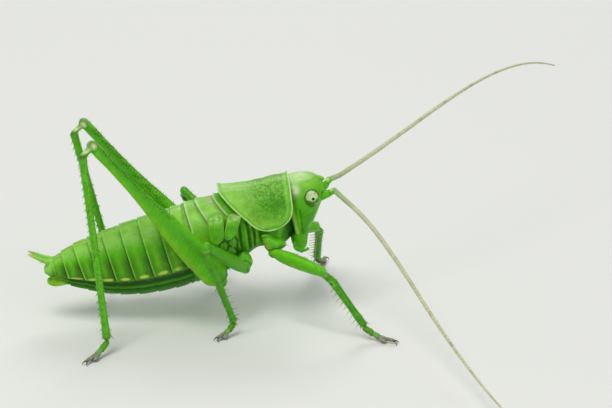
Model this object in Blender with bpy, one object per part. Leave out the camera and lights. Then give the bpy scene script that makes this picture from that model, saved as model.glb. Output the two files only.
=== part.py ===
"""A green bush-cricket (long-horned grasshopper), a young phaneropterine standing with its head raised.

Sizes are in millimetres and turned into metres where the meshes are made.
World axes: +X forward, +Y to the animal's left, +Z up, and the floor is z = 0.
The trunk is drawn in a body frame of its own: x along the body, z towards the back,
with its origin at the waist, where the thorax meets the abdomen.
"""

import math

import bmesh
import bpy
from mathutils import Matrix, Vector

MM = 0.001
GAP = 0.04  # thin cut between two solids that meet

# Driving dimensions of the trunk
BODY_PITCH = math.radians(10.5)
WAIST = Vector((-2.0, 0.0, 5.15))
ABDOMEN_LENGTH = 9.6
ABDOMEN_DEPTH = 2.68  # half the height at the waist
ABDOMEN_SLIMNESS = 0.84  # width over height
TERGITES = 10
PRONOTUM_HALF_WIDTH = 1.88
PRONOTUM_TOP = 3.38
PRONOTUM_REAR, PRONOTUM_FRONT = 2.46, 7.14
LOBE_BOTTOM = 0.40
LOBE_TIP = 5.25  # where the side lobe of the pronotum hangs lowest
EYE_CENTRE = Vector((8.32, 1.27, 1.80))
EYE_RADII = Vector((0.46, 0.40, 0.55))
MOUTH_LINE = -0.75  # where the jaws meet the head capsule
FEELER_RADIUS = 0.26
TRUNK_SIDES = 20
THIGH_SIDES = 10
LIMB_SIDES = 8

# Stations of the thorax in the body frame: x, top, bottom, half width
THORAX = (
    (GAP, 2.68, -2.62, 2.16),
    (1.1, 2.74, -2.48, 2.08),
    (2.2, 2.82, -2.22, 1.92),
    (3.3, 2.92, -1.72, 1.68),
    (4.4, 3.00, -1.02, 1.62),
    (5.5, 3.00, -1.28, 1.50),
    (6.5, 2.76, -1.12, 1.10),
)
# Stations of the head capsule in the body frame: z, front, back, half width
HEAD = (
    (3.23, 8.00, 7.25, 0.35),
    (3.08, 8.50, 6.75, 0.92),
    (2.70, 9.02, 6.62, 1.28),
    (2.20, 9.32, 6.62, 1.42),
    (1.60, 9.16, 6.62, 1.46),
    (0.90, 8.84, 6.66, 1.42),
    (0.00, 8.26, 6.72, 1.28),
    (MOUTH_LINE + GAP, 7.74, 6.74, 1.12),
)
# Stations of the jaws and upper lip below it: z, front, back, half width
JAWS = (
    (MOUTH_LINE, 7.70, 6.62, 1.06),
    (-1.30, 7.50, 6.54, 0.90),
    (-1.80, 7.32, 6.50, 0.66),
    (-2.20, 7.06, 6.56, 0.36),
)

# Legs of the right side in world axes: where each joint stands
LEGS = {
    "front": {
        "root": (3.05, 0.75, 6.20),
        "hip": (3.30, 2.05, 5.02),
        "knee": (6.42, 4.90, 4.62),
        "shin": (6.50, 4.95, 4.60),
        "ankle": (8.90, 5.05, 0.98),
        "toe": (10.90, 6.10, 0.0),
    },
    "middle": {
        "root": (1.15, 0.75, 4.80),
        "hip": (1.62, 2.00, 3.88),
        "knee": (-1.38, 5.50, 6.98),
        "shin": (-1.46, 5.60, 7.02),
        "ankle": (0.60, 3.60, 0.95),
        "toe": (-0.60, 4.60, 0.0),
    },
    "hind": {
        "root": (-0.85, 0.90, 4.70),
        "hip": (-0.10, 2.62, 3.30),
        "knee": (-8.55, 3.35, 13.48),
        "shin": (-8.96, 3.45, 13.20),
        "ankle": (-7.65, 6.10, 0.98),
        "toe": (-9.10, 7.80, 0.0),
    },
}
# How the left legs differ, because the animal is in mid stride
LEFT_SHIFTS = {
    "front": {
        "knee": (0.42, -0.20, -0.40),
        "shin": (0.42, -0.20, -0.40),
        "ankle": (-1.90, 2.50, 0.0),
        "toe": (-3.10, 3.30, 0.0),
    },
    "middle": {
        "knee": (-0.90, 0.0, 0.0),
        "shin": (-0.90, 0.0, 0.0),
        "ankle": (0.0, 2.05, 0.0),
        "toe": (0.10, 2.25, 0.0),
    },
    "hind": {
        "hip": (0.0, 0.0, -0.70),
        "knee": (-0.38, 0.0, -0.68),
        "shin": (-0.52, 0.0, -0.78),
        "ankle": (0.90, -1.20, 0.0),
        "toe": (1.10, -1.20, 0.0),
    },
}
# Half depths along each limb, from its near end to its far end, evenly spaced
COXA_DEPTHS = {"front": (0.62, 0.52, 0.40), "middle": (0.66, 0.58, 0.42), "hind": (0.95, 0.80, 0.55)}
FEMUR_DEPTHS = {
    "front": (0.30, 0.44, 0.50, 0.50, 0.49, 0.46, 0.40, 0.34),
    "middle": (0.26, 0.37, 0.43, 0.41, 0.37, 0.34, 0.32, 0.32),
    "hind": (0.42, 0.80, 0.86, 0.76, 0.62, 0.46, 0.36, 0.32, 0.32, 0.40),
}
TIBIA_DEPTHS = {
    "front": (0.28, 0.30, 0.28, 0.26, 0.27),
    "middle": (0.28, 0.29, 0.27, 0.26, 0.27),
    "hind": (0.32, 0.28, 0.26, 0.26, 0.26, 0.26, 0.28),
}
LIMB_FLATNESS = 0.82  # sideways thickness over depth
HIND_FEMUR_FLATNESS = 0.66
FOOT_HALF_WIDTH = 0.26
FOOT_HEIGHT = 0.50

# Feelers: start, first heading and how the heading turns over the whole length, degrees
FEELER_LENGTH = 27.0
FEELER_LENGTHS = 3
FEELERS = {
    "right": {"yaw": (-43, -55, -67, -72, -75, -77, -78), "pitch": (-23, -33, -26, -16, -8, -1, 6)},
    "left": {"yaw": (34, 40, 45, 49, 51, 53, 54), "pitch": (16, 15, 12, 6, -2, -12, -22)},
}
SCAPE_ROOT = Vector((8.75, 0.48, 1.62))
SCAPE_TIP = {"right": Vector((9.88, 0.86, 1.74)), "left": Vector((9.80, 0.80, 1.95))}

COLOURS = {
    "leaf_green": (0.20, 0.46, 0.08),
    "pale_green": (0.34, 0.56, 0.18),
    "limb_green": (0.12, 0.40, 0.05),
    "eye_cream": (0.60, 0.62, 0.42),
    "feeler_pink": (0.46, 0.33, 0.27),
    "foot_brown": (0.16, 0.20, 0.07),
}


def clear_scene():
    for old in list(bpy.data.objects):
        bpy.data.objects.remove(old)


def make_materials():
    made = {}
    for name, colour in COLOURS.items():
        material = bpy.data.materials.new(name)
        material.use_nodes = True
        shader = material.node_tree.nodes["Principled BSDF"]
        shader.inputs["Base Color"].default_value = (*colour, 1.0)
        shader.inputs["Roughness"].default_value = 0.3 if name == "eye_cream" else 0.45
        shader.inputs["Metallic"].default_value = 0.0
        made[name] = material
    return made


def blend_rows(rows, place):
    """A row between the stations in rows, by a Catmull-Rom curve; place counts stations."""
    low = min(max(int(place), 0), len(rows) - 2)
    t = place - low
    before = rows[max(low - 1, 0)]
    after = rows[min(low + 2, len(rows) - 1)]
    found = []
    for a, b, c, d in zip(before, rows[low], rows[low + 1], after):
        found.append(
            0.5 * (2 * b + (c - a) * t + (2 * a - 5 * b + 4 * c - d) * t**2 + (3 * b - a - 3 * c + d) * t**3)
        )
    return found


def stations(rows, count):
    """count rows spread evenly over the stations in rows."""
    return [blend_rows(rows, i * (len(rows) - 1) / (count - 1)) for i in range(count)]


def signed_power(value, power):
    return math.copysign(abs(value) ** power, value)


def ring(centre, side, up, half_width, above, below, sides, squareness=2.0):
    """A closed oval of points: half_width along side, above and below along up."""
    points = []
    for i in range(sides):
        angle = 2 * math.pi * (i + 0.5) / sides
        across = signed_power(math.cos(angle), 2 / squareness)
        along = signed_power(math.sin(angle), 2 / squareness)
        points.append(centre + side * (half_width * across) + up * (along * (above if along > 0 else below)))
    return points


def to_world(point):
    """From the body frame to world axes."""
    turn = Matrix.Rotation(-BODY_PITCH, 3, "Y")
    return WAIST + turn @ Vector(point)


def add_solid(name, rings, material=None):
    """A closed mesh through rings of equal count, its two ends closed from side to side."""
    mesh = bpy.data.meshes.new(name)
    solid = bmesh.new()
    rows = [[solid.verts.new(point * MM) for point in points] for points in rings]
    count = len(rows[0])
    for near, far in zip(rows, rows[1:]):
        for i in range(count):
            solid.faces.new((near[i], near[(i + 1) % count], far[(i + 1) % count], far[i]))
    for row in (rows[0], rows[-1]):
        for i in range(count // 2 - 1):
            solid.faces.new((row[i], row[i + 1], row[count - 2 - i], row[count - 1 - i]))
    bmesh.ops.recalc_face_normals(solid, faces=solid.faces)
    solid.to_mesh(mesh)
    solid.free()
    mesh.shade_smooth()
    mesh.set_sharp_from_angle(angle=math.radians(50))
    made = bpy.data.objects.new(name, mesh)
    bpy.context.scene.collection.objects.link(made)
    if material:
        mesh.materials.append(material)
    return made


def cutter(name, rings):
    """A hidden shape that a neighbour is cut back from."""
    shape = add_solid("cut_" + name, rings)
    shape.hide_render = True
    shape.display_type = "WIRE"
    return shape


def cut(target, *tools):
    for tool in tools:
        boolean = target.modifiers.new("clear_of_" + tool.name, "BOOLEAN")
        boolean.operation = "DIFFERENCE"
        boolean.solver = "EXACT"
        boolean.object = tool


# ---------------------------------------------------------------- trunk


def abdomen_fullness(x):
    """Share of the waist's depth at x, which runs from 0 at the waist to -ABDOMEN_LENGTH."""
    taper_length, taper, bluntness = 10.2, 2.5, 0.93
    return (1 - (abs(x) / taper_length) ** taper) ** bluntness


def abdomen_sag(x):
    return -0.27 * math.sin(math.pi * min(abs(x) / 8.0, 1.0))


def tergite_edges():
    """Where the ten segments end, from the waist back; they shorten towards the tail."""
    weights = [1.0 - 0.035 * i for i in range(TERGITES)]
    total, reached, edges = sum(weights), 0.0, [0.0]
    for weight in weights:
        reached += weight
        edges.append(-ABDOMEN_LENGTH * reached / total)
    return edges


def abdomen_ring(x, swell, grow=0.0):
    half = ABDOMEN_DEPTH * abdomen_fullness(x) * swell + grow
    centre = to_world((x, 0, abdomen_sag(x)))
    up = to_world((0, 0, 1)) - WAIST
    return ring(centre, Vector((0, 1, 0)), up, half * ABDOMEN_SLIMNESS, half, half, TRUNK_SIDES, 2.15)


def abdomen_rings(grow=0.0):
    """Each segment is widest at its rear edge, and the next one starts a little inside it."""
    rings = []
    edges = tergite_edges()
    for front, rear in zip(edges, edges[1:]):
        length = front - rear
        for share, swell in ((0.02, 0.955), (0.55, 0.99), (0.96, 1.0)):
            rings.append(abdomen_ring(front - share * length, swell, grow))
    return rings


def thorax_rings(grow=0.0):
    up = to_world((0, 0, 1)) - WAIST
    rings = []
    for x, top, bottom, half_width in stations(THORAX, 13):
        centre = to_world((x, 0, (top + bottom) / 2))
        half = (top - bottom) / 2 + grow
        rings.append(ring(centre, Vector((0, 1, 0)), up, half_width + grow, half, half, TRUNK_SIDES, 2.3))
    return rings


def head_rings(rows, count, grow=0.0):
    """Level slices of the head, pointed a little to the front and flat behind."""
    ahead = to_world((1, 0, 0)) - WAIST
    rings = []
    for z, front, back, half_width in stations(rows, count):
        centre = to_world(((front + back) / 2 - 0.1, 0, z))
        before = front - (front + back) / 2 + 0.1 + grow
        behind = (front + back) / 2 - back - 0.1 + grow
        rings.append(ring(centre, Vector((0, 1, 0)), ahead, half_width + grow, before, behind, 18, 2.2))
    return rings


def pronotum_section(share):
    """Side and height of the saddle's outer line; share runs from 0 on the midline to 1 at the lobe."""
    shoulder_height, bend_share = 1.35, 0.62
    if share <= bend_share:
        angle = share / bend_share * math.pi / 2
        side = PRONOTUM_HALF_WIDTH * math.sin(angle) ** (2 / 2.5)
        height = shoulder_height + (PRONOTUM_TOP - shoulder_height) * math.cos(angle) ** (2 / 2.5)
        return side, height
    down = (share - bend_share) / (1 - bend_share)
    height = shoulder_height + (LOBE_BOTTOM - shoulder_height) * down
    return PRONOTUM_HALF_WIDTH - 0.16 * down**2, height


def pronotum_reach(height):
    """Rear and front limit of the saddle at a height: a slanted rear margin and a steep front one."""
    drop = (PRONOTUM_TOP - height) / (PRONOTUM_TOP - LOBE_BOTTOM)
    rear = PRONOTUM_REAR + (LOBE_TIP - 0.55 - PRONOTUM_REAR) * drop**1.12
    front = PRONOTUM_FRONT - 0.25 * drop - 1.05 * max(drop - 0.62, 0) ** 2 / 0.38**2
    return rear, front


def pronotum_rings(grow=0.0):
    """Closed bands across the saddle, from its rear margin to its front margin."""
    girth_steps, bands = 10, 10
    rings = []
    for band in range(bands + 1):
        along = band / bands
        flank = []
        for step in range(girth_steps):
            side, height = pronotum_section((step + 0.5) / (girth_steps - 0.5))
            rear, front = pronotum_reach(height)
            rim = 0.06 * max(0.0, 1 - along * 5) ** 2
            x = rear + (front - rear) * along + grow * (2 * along - 1)
            flank.append((x, side + rim + grow, height + rim * (height > 2.5) + grow * (1 - 2 * step / girth_steps)))
        right = [to_world((x, -y, z)) for x, y, z in reversed(flank)]
        left = [to_world((x, y, z)) for x, y, z in flank]
        rings.append(right + left)
    return rings


def ellipsoid_rings(centre, radii, grow=0.0, sides=12, rows=7):
    """Rings round the sideways axis, closed by a very small one at each pole."""
    up = to_world((0, 0, 1)) - WAIST
    ahead = to_world((1, 0, 0)) - WAIST
    rings = []
    for row in range(rows + 1):
        angle = math.pi * (0.035 + 0.93 * row / rows) - math.pi / 2
        middle = to_world(centre) + Vector((0, 1, 0)) * (math.sin(angle) * (radii.y + grow))
        wide = math.cos(angle) * (radii.x + grow)
        tall = math.cos(angle) * (radii.z + grow)
        rings.append(ring(middle, ahead, up, wide, tall, tall, sides))
    return rings


# ---------------------------------------------------------------- limbs


def mirrored(point, side):
    """World point of a joint, given for the right side with y counted outwards."""
    return Vector((point[0], -point[1] if side == "right" else point[1], point[2]))


def leg_joints(pair, side):
    joints = {}
    for name, point in LEGS[pair].items():
        shift = LEFT_SHIFTS[pair].get(name, (0, 0, 0)) if side == "left" else (0, 0, 0)
        joints[name] = mirrored([a + b for a, b in zip(point, shift)], side)
    return joints


def limb_rings(start, end, depths, bend, flatness, grow=0.0, sides=LIMB_SIDES):
    """A round-ended tapering limb. bend is any vector in the plane in which its joint folds."""
    axis = (end - start).normalized()
    side = axis.cross(bend).normalized()
    up = side.cross(axis)
    rows = [(depth,) for depth in depths]
    rings = []
    steps = len(depths) + 2
    shares = [0.012, *[(i + 1) / (steps + 1) for i in range(steps)], 0.988]
    for share in shares:
        depth = blend_rows(rows, share * (len(rows) - 1))[0] + grow
        length = (end - start).length
        from_end = min(share, 1 - share) * length
        round_off = depths[0] if share < 0.5 else depths[-1]
        if from_end < round_off:
            depth *= math.sqrt(max(1 - (1 - from_end / round_off) ** 2, 0.12))
        stretch = grow if share in (shares[0], shares[-1]) else 0.0
        centre = start.lerp(end, share) + axis * math.copysign(stretch, share - 0.5)
        rings.append(ring(centre, side, up, depth * flatness, depth, depth, sides))
    return rings


def foot_rings(ankle, toe, grow=0.0):
    """A four-jointed foot: it comes down from the ankle, then lies with a flat sole on the floor."""
    level = Vector((toe.x - ankle.x, toe.y - ankle.y, 0))
    ahead = level.normalized()
    side = Vector((0, 0, 1)).cross(ahead)
    rings = []
    for share, height, width in (
        (0.00, 0.22, 0.80), (0.10, 0.26, 0.95), (0.25, 0.26, 1.00), (0.33, 0.24, 0.86), (0.45, 0.26, 1.06),
        (0.55, 0.24, 0.84), (0.68, 0.26, 1.10), (0.76, 0.24, 0.80), (0.90, 0.22, 0.84), (1.00, 0.20, 0.95),
    ):
        lift = (ankle.z - 0.42) * max(1 - share / 0.62, 0) ** 1.15
        centre = Vector((ankle.x, ankle.y, 0)) + level * share + Vector((0, 0, lift + FOOT_HEIGHT / 2))
        half = height + grow
        points = ring(centre, side, Vector((0, 0, 1)), FOOT_HALF_WIDTH * width + grow, half, half, 8, 2.6)
        sole = lift + FOOT_HEIGHT / 2 - 0.25 - grow
        for point in points:
            if point.z < centre.z - 0.6 * half:
                point.z = sole
        rings.append(points)
    return rings


def tube_rings(points, radii, sides=8):
    """Rings square to a bent line, for feelers, palps and tail bristles."""
    rings = []
    for i, point in enumerate(points):
        before, after = points[max(i - 1, 0)], points[min(i + 1, len(points) - 1)]
        axis = (after - before).normalized()
        side = axis.cross(Vector((0, 0, 1))).normalized()
        rings.append(ring(point, side, side.cross(axis), radii[i], radii[i], radii[i], sides))
    return rings


def feeler_line(side, start, steps=27):
    """Points along a feeler whose heading turns smoothly from root to tip."""
    turn = list(zip(FEELERS[side]["yaw"], FEELERS[side]["pitch"]))
    points = [start.copy()]
    for step in range(steps):
        yaw, pitch = (math.radians(a) for a in blend_rows(turn, (step + 0.5) / steps * (len(turn) - 1)))
        heading = Vector((math.cos(pitch) * math.cos(yaw), math.cos(pitch) * math.sin(yaw), math.sin(pitch)))
        points.append(points[-1] + heading * (FEELER_LENGTH / steps))
    return points


# ---------------------------------------------------------------- the parts


def make_trunk(paint):
    add_solid("abdomen", abdomen_rings(), paint["leaf_green"])
    add_solid("thorax", thorax_rings(), paint["pale_green"])
    add_solid("jaws", head_rings(JAWS, 5), paint["limb_green"])
    head = add_solid("head", head_rings(HEAD, 11), paint["leaf_green"])
    thorax_room = cutter("thorax", thorax_rings(GAP))
    head_room = cutter("head", head_rings(HEAD, 11, GAP))
    pronotum_room = cutter("pronotum", pronotum_rings(GAP))
    pronotum = add_solid("pronotum", pronotum_rings(), paint["pale_green"])
    cut(pronotum, thorax_room, head_room)
    cut(head, thorax_room)
    for side, sign in (("right", -1), ("left", 1)):
        centre = Vector((EYE_CENTRE.x, sign * EYE_CENTRE.y, EYE_CENTRE.z))
        add_solid("eye_" + side, ellipsoid_rings(centre, EYE_RADII), paint["eye_cream"])
        cut(head, cutter("eye_" + side, ellipsoid_rings(centre, EYE_RADII, GAP)))
    return thorax_room, head_room, pronotum_room


def make_wing_pad(name, side, top, tip, half_width, rooms, paint):
    """A rounded lobe that hangs over the flank from a hinge line near the back."""
    sign = -1 if side == "right" else 1
    rows = []
    steps = 6
    for step in range(steps + 1):
        share = step / steps
        centre = Vector(top).lerp(Vector(tip), share)
        centre.y += 0.16 * math.sin(math.pi * share)
        width = half_width * math.sqrt(max(1 - max((share - 0.55) / 0.47, 0) ** 2, 0.05))
        middle = to_world((centre.x, sign * centre.y, centre.z))
        ahead = to_world((1, 0, 0)) - WAIST
        rows.append(ring(middle, ahead, Vector((0, 1, 0)), width, 0.34, 0.34, 10, 2.6))
    pad = add_solid(name + "_" + side, rows, paint["pale_green"])
    cut(pad, *rooms)


def make_leg(pair, side, thorax_room, paint):
    joints = leg_joints(pair, side)
    knee_bend = joints["hip"] - joints["ankle"]
    outward = Vector((0, -1 if side == "right" else 1, 0))
    thigh_flatness = HIND_FEMUR_FLATNESS if pair == "hind" else LIMB_FLATNESS
    name = "_" + pair + "_" + side
    rings = {
        "coxa": lambda grow: limb_rings(joints["root"], joints["hip"], COXA_DEPTHS[pair], outward, 0.9, grow),
        "femur": lambda grow: limb_rings(
            joints["hip"], joints["knee"], FEMUR_DEPTHS[pair], knee_bend, thigh_flatness, grow, THIGH_SIDES
        ),
        "tibia": lambda grow: limb_rings(
            joints["shin"], joints["ankle"], TIBIA_DEPTHS[pair], knee_bend, 0.95, grow
        ),
        "tarsus": lambda grow: foot_rings(joints["ankle"], joints["toe"], grow),
    }
    room = thorax_room
    for part, shape in rings.items():
        made = add_solid(part + name, shape(0.0), paint["foot_brown" if part == "tarsus" else "limb_green"])
        cut(made, room)
        if part != "tarsus":
            room = cutter(part + name, shape(GAP))


def make_feeler(side, head_room, paint):
    sign = -1 if side == "right" else 1
    root = to_world((SCAPE_ROOT.x, sign * SCAPE_ROOT.y, SCAPE_ROOT.z))
    tip = SCAPE_TIP[side]
    elbow = to_world((tip.x, sign * tip.y, tip.z))
    up = Vector((0, 0, 1))
    scape = add_solid(
        "scape_" + side, limb_rings(root, elbow, (0.30, 0.34, 0.34, 0.30), up, 1.0), paint["limb_green"]
    )
    cut(scape, head_room)
    scape_room = cutter(
        "scape_" + side, limb_rings(root, elbow, (0.30, 0.34, 0.34, 0.30), up, 1.0, GAP)
    )
    line = feeler_line(side, elbow)
    heading = (line[1] - line[0]).normalized()
    line[0] = line[0] + heading * 0.10
    per_length = (len(line) - 1) // FEELER_LENGTHS
    for index, part in enumerate(("base", "middle", "tip")):
        points = [p.copy() for p in line[index * per_length : (index + 1) * per_length + 1]]
        if index:
            points[0] += (points[1] - points[0]).normalized() * GAP
        radii = [FEELER_RADIUS] * len(points)
        length = add_solid("feeler_" + part + "_" + side, tube_rings(points, radii), paint["feeler_pink"])
        if part == "base":
            cut(length, scape_room)


def make_small_parts(thorax_room, paint):
    """Palps under the jaws, and the two tail bristles with the plate below them."""
    jaws_room = cutter("jaws", head_rings(JAWS, 5, GAP))
    tail_room = cutter("abdomen", abdomen_rings(GAP))
    for side, sign in (("right", -1), ("left", 1)):
        line = [(6.85, 0.80, -1.00), (6.68, 1.10, -1.22), (6.95, 1.18, -1.50), (7.45, 1.08, -1.55)]
        points = [to_world((x, sign * y, z)) for x, y, z in stations(line, 6)]
        palp = add_solid("palp_" + side, tube_rings(points, [0.21] * 6), paint["limb_green"])
        cut(palp, jaws_room, thorax_room)
        line = [(-8.95, 0.34, 0.60), (-9.45, 0.34, 0.88), (-9.95, 0.32, 1.22), (-10.46, 0.30, 1.62)]
        points = [to_world((x, sign * y, z)) for x, y, z in stations(line, 6)]
        radii = [0.26, 0.27, 0.26, 0.25, 0.25, 0.22]
        cercus = add_solid("cercus_" + side, tube_rings(points, radii), paint["leaf_green"])
        cut(cercus, tail_room)
    points = [to_world((-8.5, 0, -0.62)), to_world((-9.05, 0, -0.56)), to_world((-9.55, 0, -0.36))]
    rings = tube_rings(points, [0.44, 0.42, 0.24], 12)
    plate = add_solid("tail_plate", rings, paint["leaf_green"])
    cut(plate, tail_room)


def centre_on_floor():
    """Moves the whole animal so that the origin lies on the floor, under the middle of its box."""
    bpy.context.view_layer.update()
    graph = bpy.context.evaluated_depsgraph_get()
    solids = [o for o in bpy.data.objects if not o.hide_render]
    corners = [Vector(c) for o in solids for c in o.evaluated_get(graph).bound_box]
    low = Vector([min(c[i] for c in corners) for i in range(3)])
    high = Vector([max(c[i] for c in corners) for i in range(3)])
    holder = bpy.data.objects.new("bush_cricket", None)
    bpy.context.scene.collection.objects.link(holder)
    for solid in [o for o in bpy.data.objects if o.type == "MESH"]:
        solid.parent = holder
    holder.location = (-(low.x + high.x) / 2, -(low.y + high.y) / 2, -low.z)


def main():
    clear_scene()
    paint = make_materials()
    thorax_room, head_room, pronotum_room = make_trunk(paint)
    rooms = (thorax_room, pronotum_room)
    for side in ("right", "left"):
        make_wing_pad("fore_wing_pad", side, (3.22, 1.56, 2.00), (2.66, 1.98, 0.46), 0.50, rooms, paint)
        make_wing_pad("hind_wing_pad", side, (1.98, 1.62, 2.20), (1.82, 2.10, 0.38), 0.52, rooms, paint)
        for pair in LEGS:
            make_leg(pair, side, thorax_room, paint)
        make_feeler(side, head_room, paint)
    make_small_parts(thorax_room, paint)
    centre_on_floor()


main()
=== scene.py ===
"""Looks of a green bush-cricket nymph: cuticle, markings, spines and hairs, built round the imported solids.

Lengths are in millimetres until a mesh is made. The trunk has a body frame of its own: x runs forward
along the body, y to the animal's left and z towards its back, from the waist, and it is tilted nose up.
Sizes without a name are local to their line: widths of marks, heights of relief and shares of colour.
"""

import math
from collections import namedtuple
from types import SimpleNamespace

import bpy
import numpy as np
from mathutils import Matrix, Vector, noise


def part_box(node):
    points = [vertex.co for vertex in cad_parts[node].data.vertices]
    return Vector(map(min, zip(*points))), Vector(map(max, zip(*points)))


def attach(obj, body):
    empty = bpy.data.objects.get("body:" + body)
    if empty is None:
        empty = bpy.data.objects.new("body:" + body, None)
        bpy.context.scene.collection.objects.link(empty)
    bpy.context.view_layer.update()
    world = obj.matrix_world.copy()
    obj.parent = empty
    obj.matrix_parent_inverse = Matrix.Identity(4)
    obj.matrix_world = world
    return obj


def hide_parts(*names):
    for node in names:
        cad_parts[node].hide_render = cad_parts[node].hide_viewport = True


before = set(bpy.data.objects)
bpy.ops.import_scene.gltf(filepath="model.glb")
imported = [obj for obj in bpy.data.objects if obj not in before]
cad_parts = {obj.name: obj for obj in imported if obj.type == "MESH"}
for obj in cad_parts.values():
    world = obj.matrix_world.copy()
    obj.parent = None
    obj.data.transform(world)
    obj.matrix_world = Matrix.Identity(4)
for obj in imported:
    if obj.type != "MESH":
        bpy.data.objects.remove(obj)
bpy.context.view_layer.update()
random = np.random.default_rng(7)

MM = 0.001
BODY_PITCH = math.radians(10.5)
AHEAD = np.array((math.cos(BODY_PITCH), 0.0, math.sin(BODY_PITCH)))
LEFT = np.array((0.0, 1.0, 0.0))
UP = np.cross(AHEAD, LEFT)
RISE = np.array((0.0, 0.0, 1.0))
SIDES = {"right": -1, "left": 1}
PAIRS = ("front", "middle", "hind")

# Colours, linear
PALE = np.array((0.25, 0.57, 0.070))
LEAF = np.array((0.105, 0.47, 0.006))
DEEP = np.array((0.048, 0.29, 0.002))
# SHADE: near-black green, used as painted shade in grooves, holes, undersides and at the neck, and also as
# the real colour of dark dots, lines and hairs
SHADE = np.array((0.014, 0.085, 0.001))
LIME = np.array((0.21, 0.52, 0.008))
YELLOW = np.array((0.52, 0.66, 0.10))
CREAM = np.array((0.58, 0.76, 0.36))
BLUSH = np.array((0.46, 0.50, 0.28))
BROWN = np.array((0.075, 0.055, 0.022))
MAROON = np.array((0.085, 0.060, 0.018))
FEELER = np.array((0.58, 0.59, 0.38))
GREY = np.array((0.36, 0.38, 0.27))
BLACK = np.array((0.006, 0.008, 0.005))


# ---------------------------------------------------------------- measuring the solids


def net(node):
    """Points and edges of a CAD node."""
    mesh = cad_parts[node].data
    points = np.empty(len(mesh.vertices) * 3)
    edges = np.empty(len(mesh.edges) * 2, np.int32)
    mesh.vertices.foreach_get("co", points)
    mesh.edges.foreach_get("vertices", edges)
    return points.reshape(-1, 3) / MM, edges.reshape(-1, 2)


NETS = {node: net(node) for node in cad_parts}


def section(nodes, point, normal):
    """Where the edges of some CAD nodes pass through a plane."""
    found = []
    for node in nodes:
        points, edges = NETS[node]
        height = (points - point) @ normal
        near, far = height[edges[:, 0]], height[edges[:, 1]]
        hit = near * far < 0
        a, b = points[edges[hit, 0]], points[edges[hit, 1]]
        found.append(a + (b - a) * (near[hit] / (near[hit] - far[hit]))[:, None])
    return np.concatenate(found)


def find_waist():
    """Origin of the body frame: the middle of the thorax's rear end, less the cut between the solids."""
    points = NETS["thorax"][0]
    along = points @ AHEAD
    rear = points[along < along.min() + 0.02]
    return (rear.min(0) + rear.max(0)) / 2 - AHEAD * 0.04


WAIST = find_waist()


def to_world(points):
    """From the body frame to the row frame."""
    points = np.asarray(points, float)
    return WAIST + points[..., :1] * AHEAD + points[..., 1:2] * LEFT + points[..., 2:] * UP


def to_body(points):
    return np.stack([(points - WAIST) @ axis for axis in (AHEAD, LEFT, UP)], -1)


def body_box(node):
    """Lowest and highest corners of a node in the body frame."""
    points = to_body(NETS[node][0])
    return points.min(0), points.max(0)


def body_cuts(node, axis, places):
    """Sections of a node square to a body axis, as a list of body-frame points for each place."""
    return [to_body(section([node], WAIST + axis * place, axis)) for place in places]


# ---------------------------------------------------------------- numbers


def unit(vector):
    return vector / np.linalg.norm(vector, axis=-1, keepdims=True)


def across(vector, axis):
    """The part of a vector that is square to an axis, at unit length."""
    return unit(vector - axis * (vector @ axis))


def ease(value, start, end):
    """0 before start, 1 after end, smooth in between."""
    share = np.clip((value - start) / (end - start), 0, 1)
    return share * share * (3 - 2 * share)


def bell(value, width):
    return np.exp(-((value / width) ** 2))


def blob(x, z, size):
    """An oval mark: 1 where x and z are 0, fading over the two half sizes."""
    return bell(np.hypot(x / size[0], z / size[1]), 1.0)


def curve(keys, values, at):
    """Values between the keys, on a smooth line through them."""
    keys, values, at = np.asarray(keys, float), np.asarray(values, float), np.asarray(at, float)
    slopes = np.gradient(values, keys, axis=0)
    low = np.clip(np.searchsorted(keys, at) - 1, 0, len(keys) - 2)
    extra = (1,) * (values.ndim - 1)
    gap = (keys[low + 1] - keys[low]).reshape(at.shape + extra)
    t = np.clip((at - keys[low]).reshape(at.shape + extra) / gap, 0, 1)
    start = (2 * t**3 - 3 * t**2 + 1) * values[low] + (t**3 - 2 * t**2 + t) * gap * slopes[low]
    return start + (3 * t**2 - 2 * t**3) * values[low + 1] + (t**3 - t**2) * gap * slopes[low + 1]


def spread(values, share):
    """Evenly spaced values, read at shares from 0 to 1."""
    return curve(np.linspace(0, 1, len(values)), values, share)


def travelled(line):
    """How far each point of a line is along it."""
    return np.concatenate([[0], np.cumsum(np.linalg.norm(np.diff(line, axis=0), axis=1))])


def fits(keys, rows, degree):
    """One smooth polynomial for each column of measured rows."""
    return [np.polynomial.Polynomial.fit(keys, row, degree) for row in np.array(rows).T]


def grain(points, size, shift=0.0):
    """Smooth noise from -1 to 1, in lumps of about this size."""
    flat = (points.reshape(-1, 3) / size + shift).tolist()
    return np.array([noise.noise(p) for p in flat]).reshape(points.shape[:-1])


def cells(points, size):
    """Distance to the border of each point's cell, 0 on the border, for cells of about this size."""
    flat = (points.reshape(-1, 3) / size).tolist()
    near = np.array([noise.voronoi(p)[0][:2] for p in flat])
    return (near[:, 1] - near[:, 0]).reshape(points.shape[:-1])


def stroke(points, path, width):
    """A mark along a bent line, 1 on the line and fading over its half width."""
    path = np.asarray(path, float)
    best = np.full(points.shape[:-1], 1e9)
    for a, b in zip(path, path[1:]):
        along = np.clip(((points - a) @ (b - a)) / ((b - a) @ (b - a)), 0, 1)
        best = np.minimum(best, np.linalg.norm(points - a - along[..., None] * (b - a), axis=-1))
    return bell(best, width)


def paint(grid, base, *layers):
    """A colour for each point of a grid: a base, then layers of colour and mask, each over the last."""
    tint = np.broadcast_to(base, grid.shape)
    for colour, mask in layers:
        tint = tint + (colour - tint) * np.clip(mask, 0, 1)[..., None]
    return tint


# ---------------------------------------------------------------- meshes


def around(count):
    return np.arange(count) * 2 * np.pi / count


def oval(angle, squareness=2.0):
    """Cosine and sine of a rounded square, which is a circle at squareness 2."""
    pair = (np.cos(angle), np.sin(angle))
    return [np.copysign(np.abs(part) ** (2 / squareness), part) for part in pair]


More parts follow.
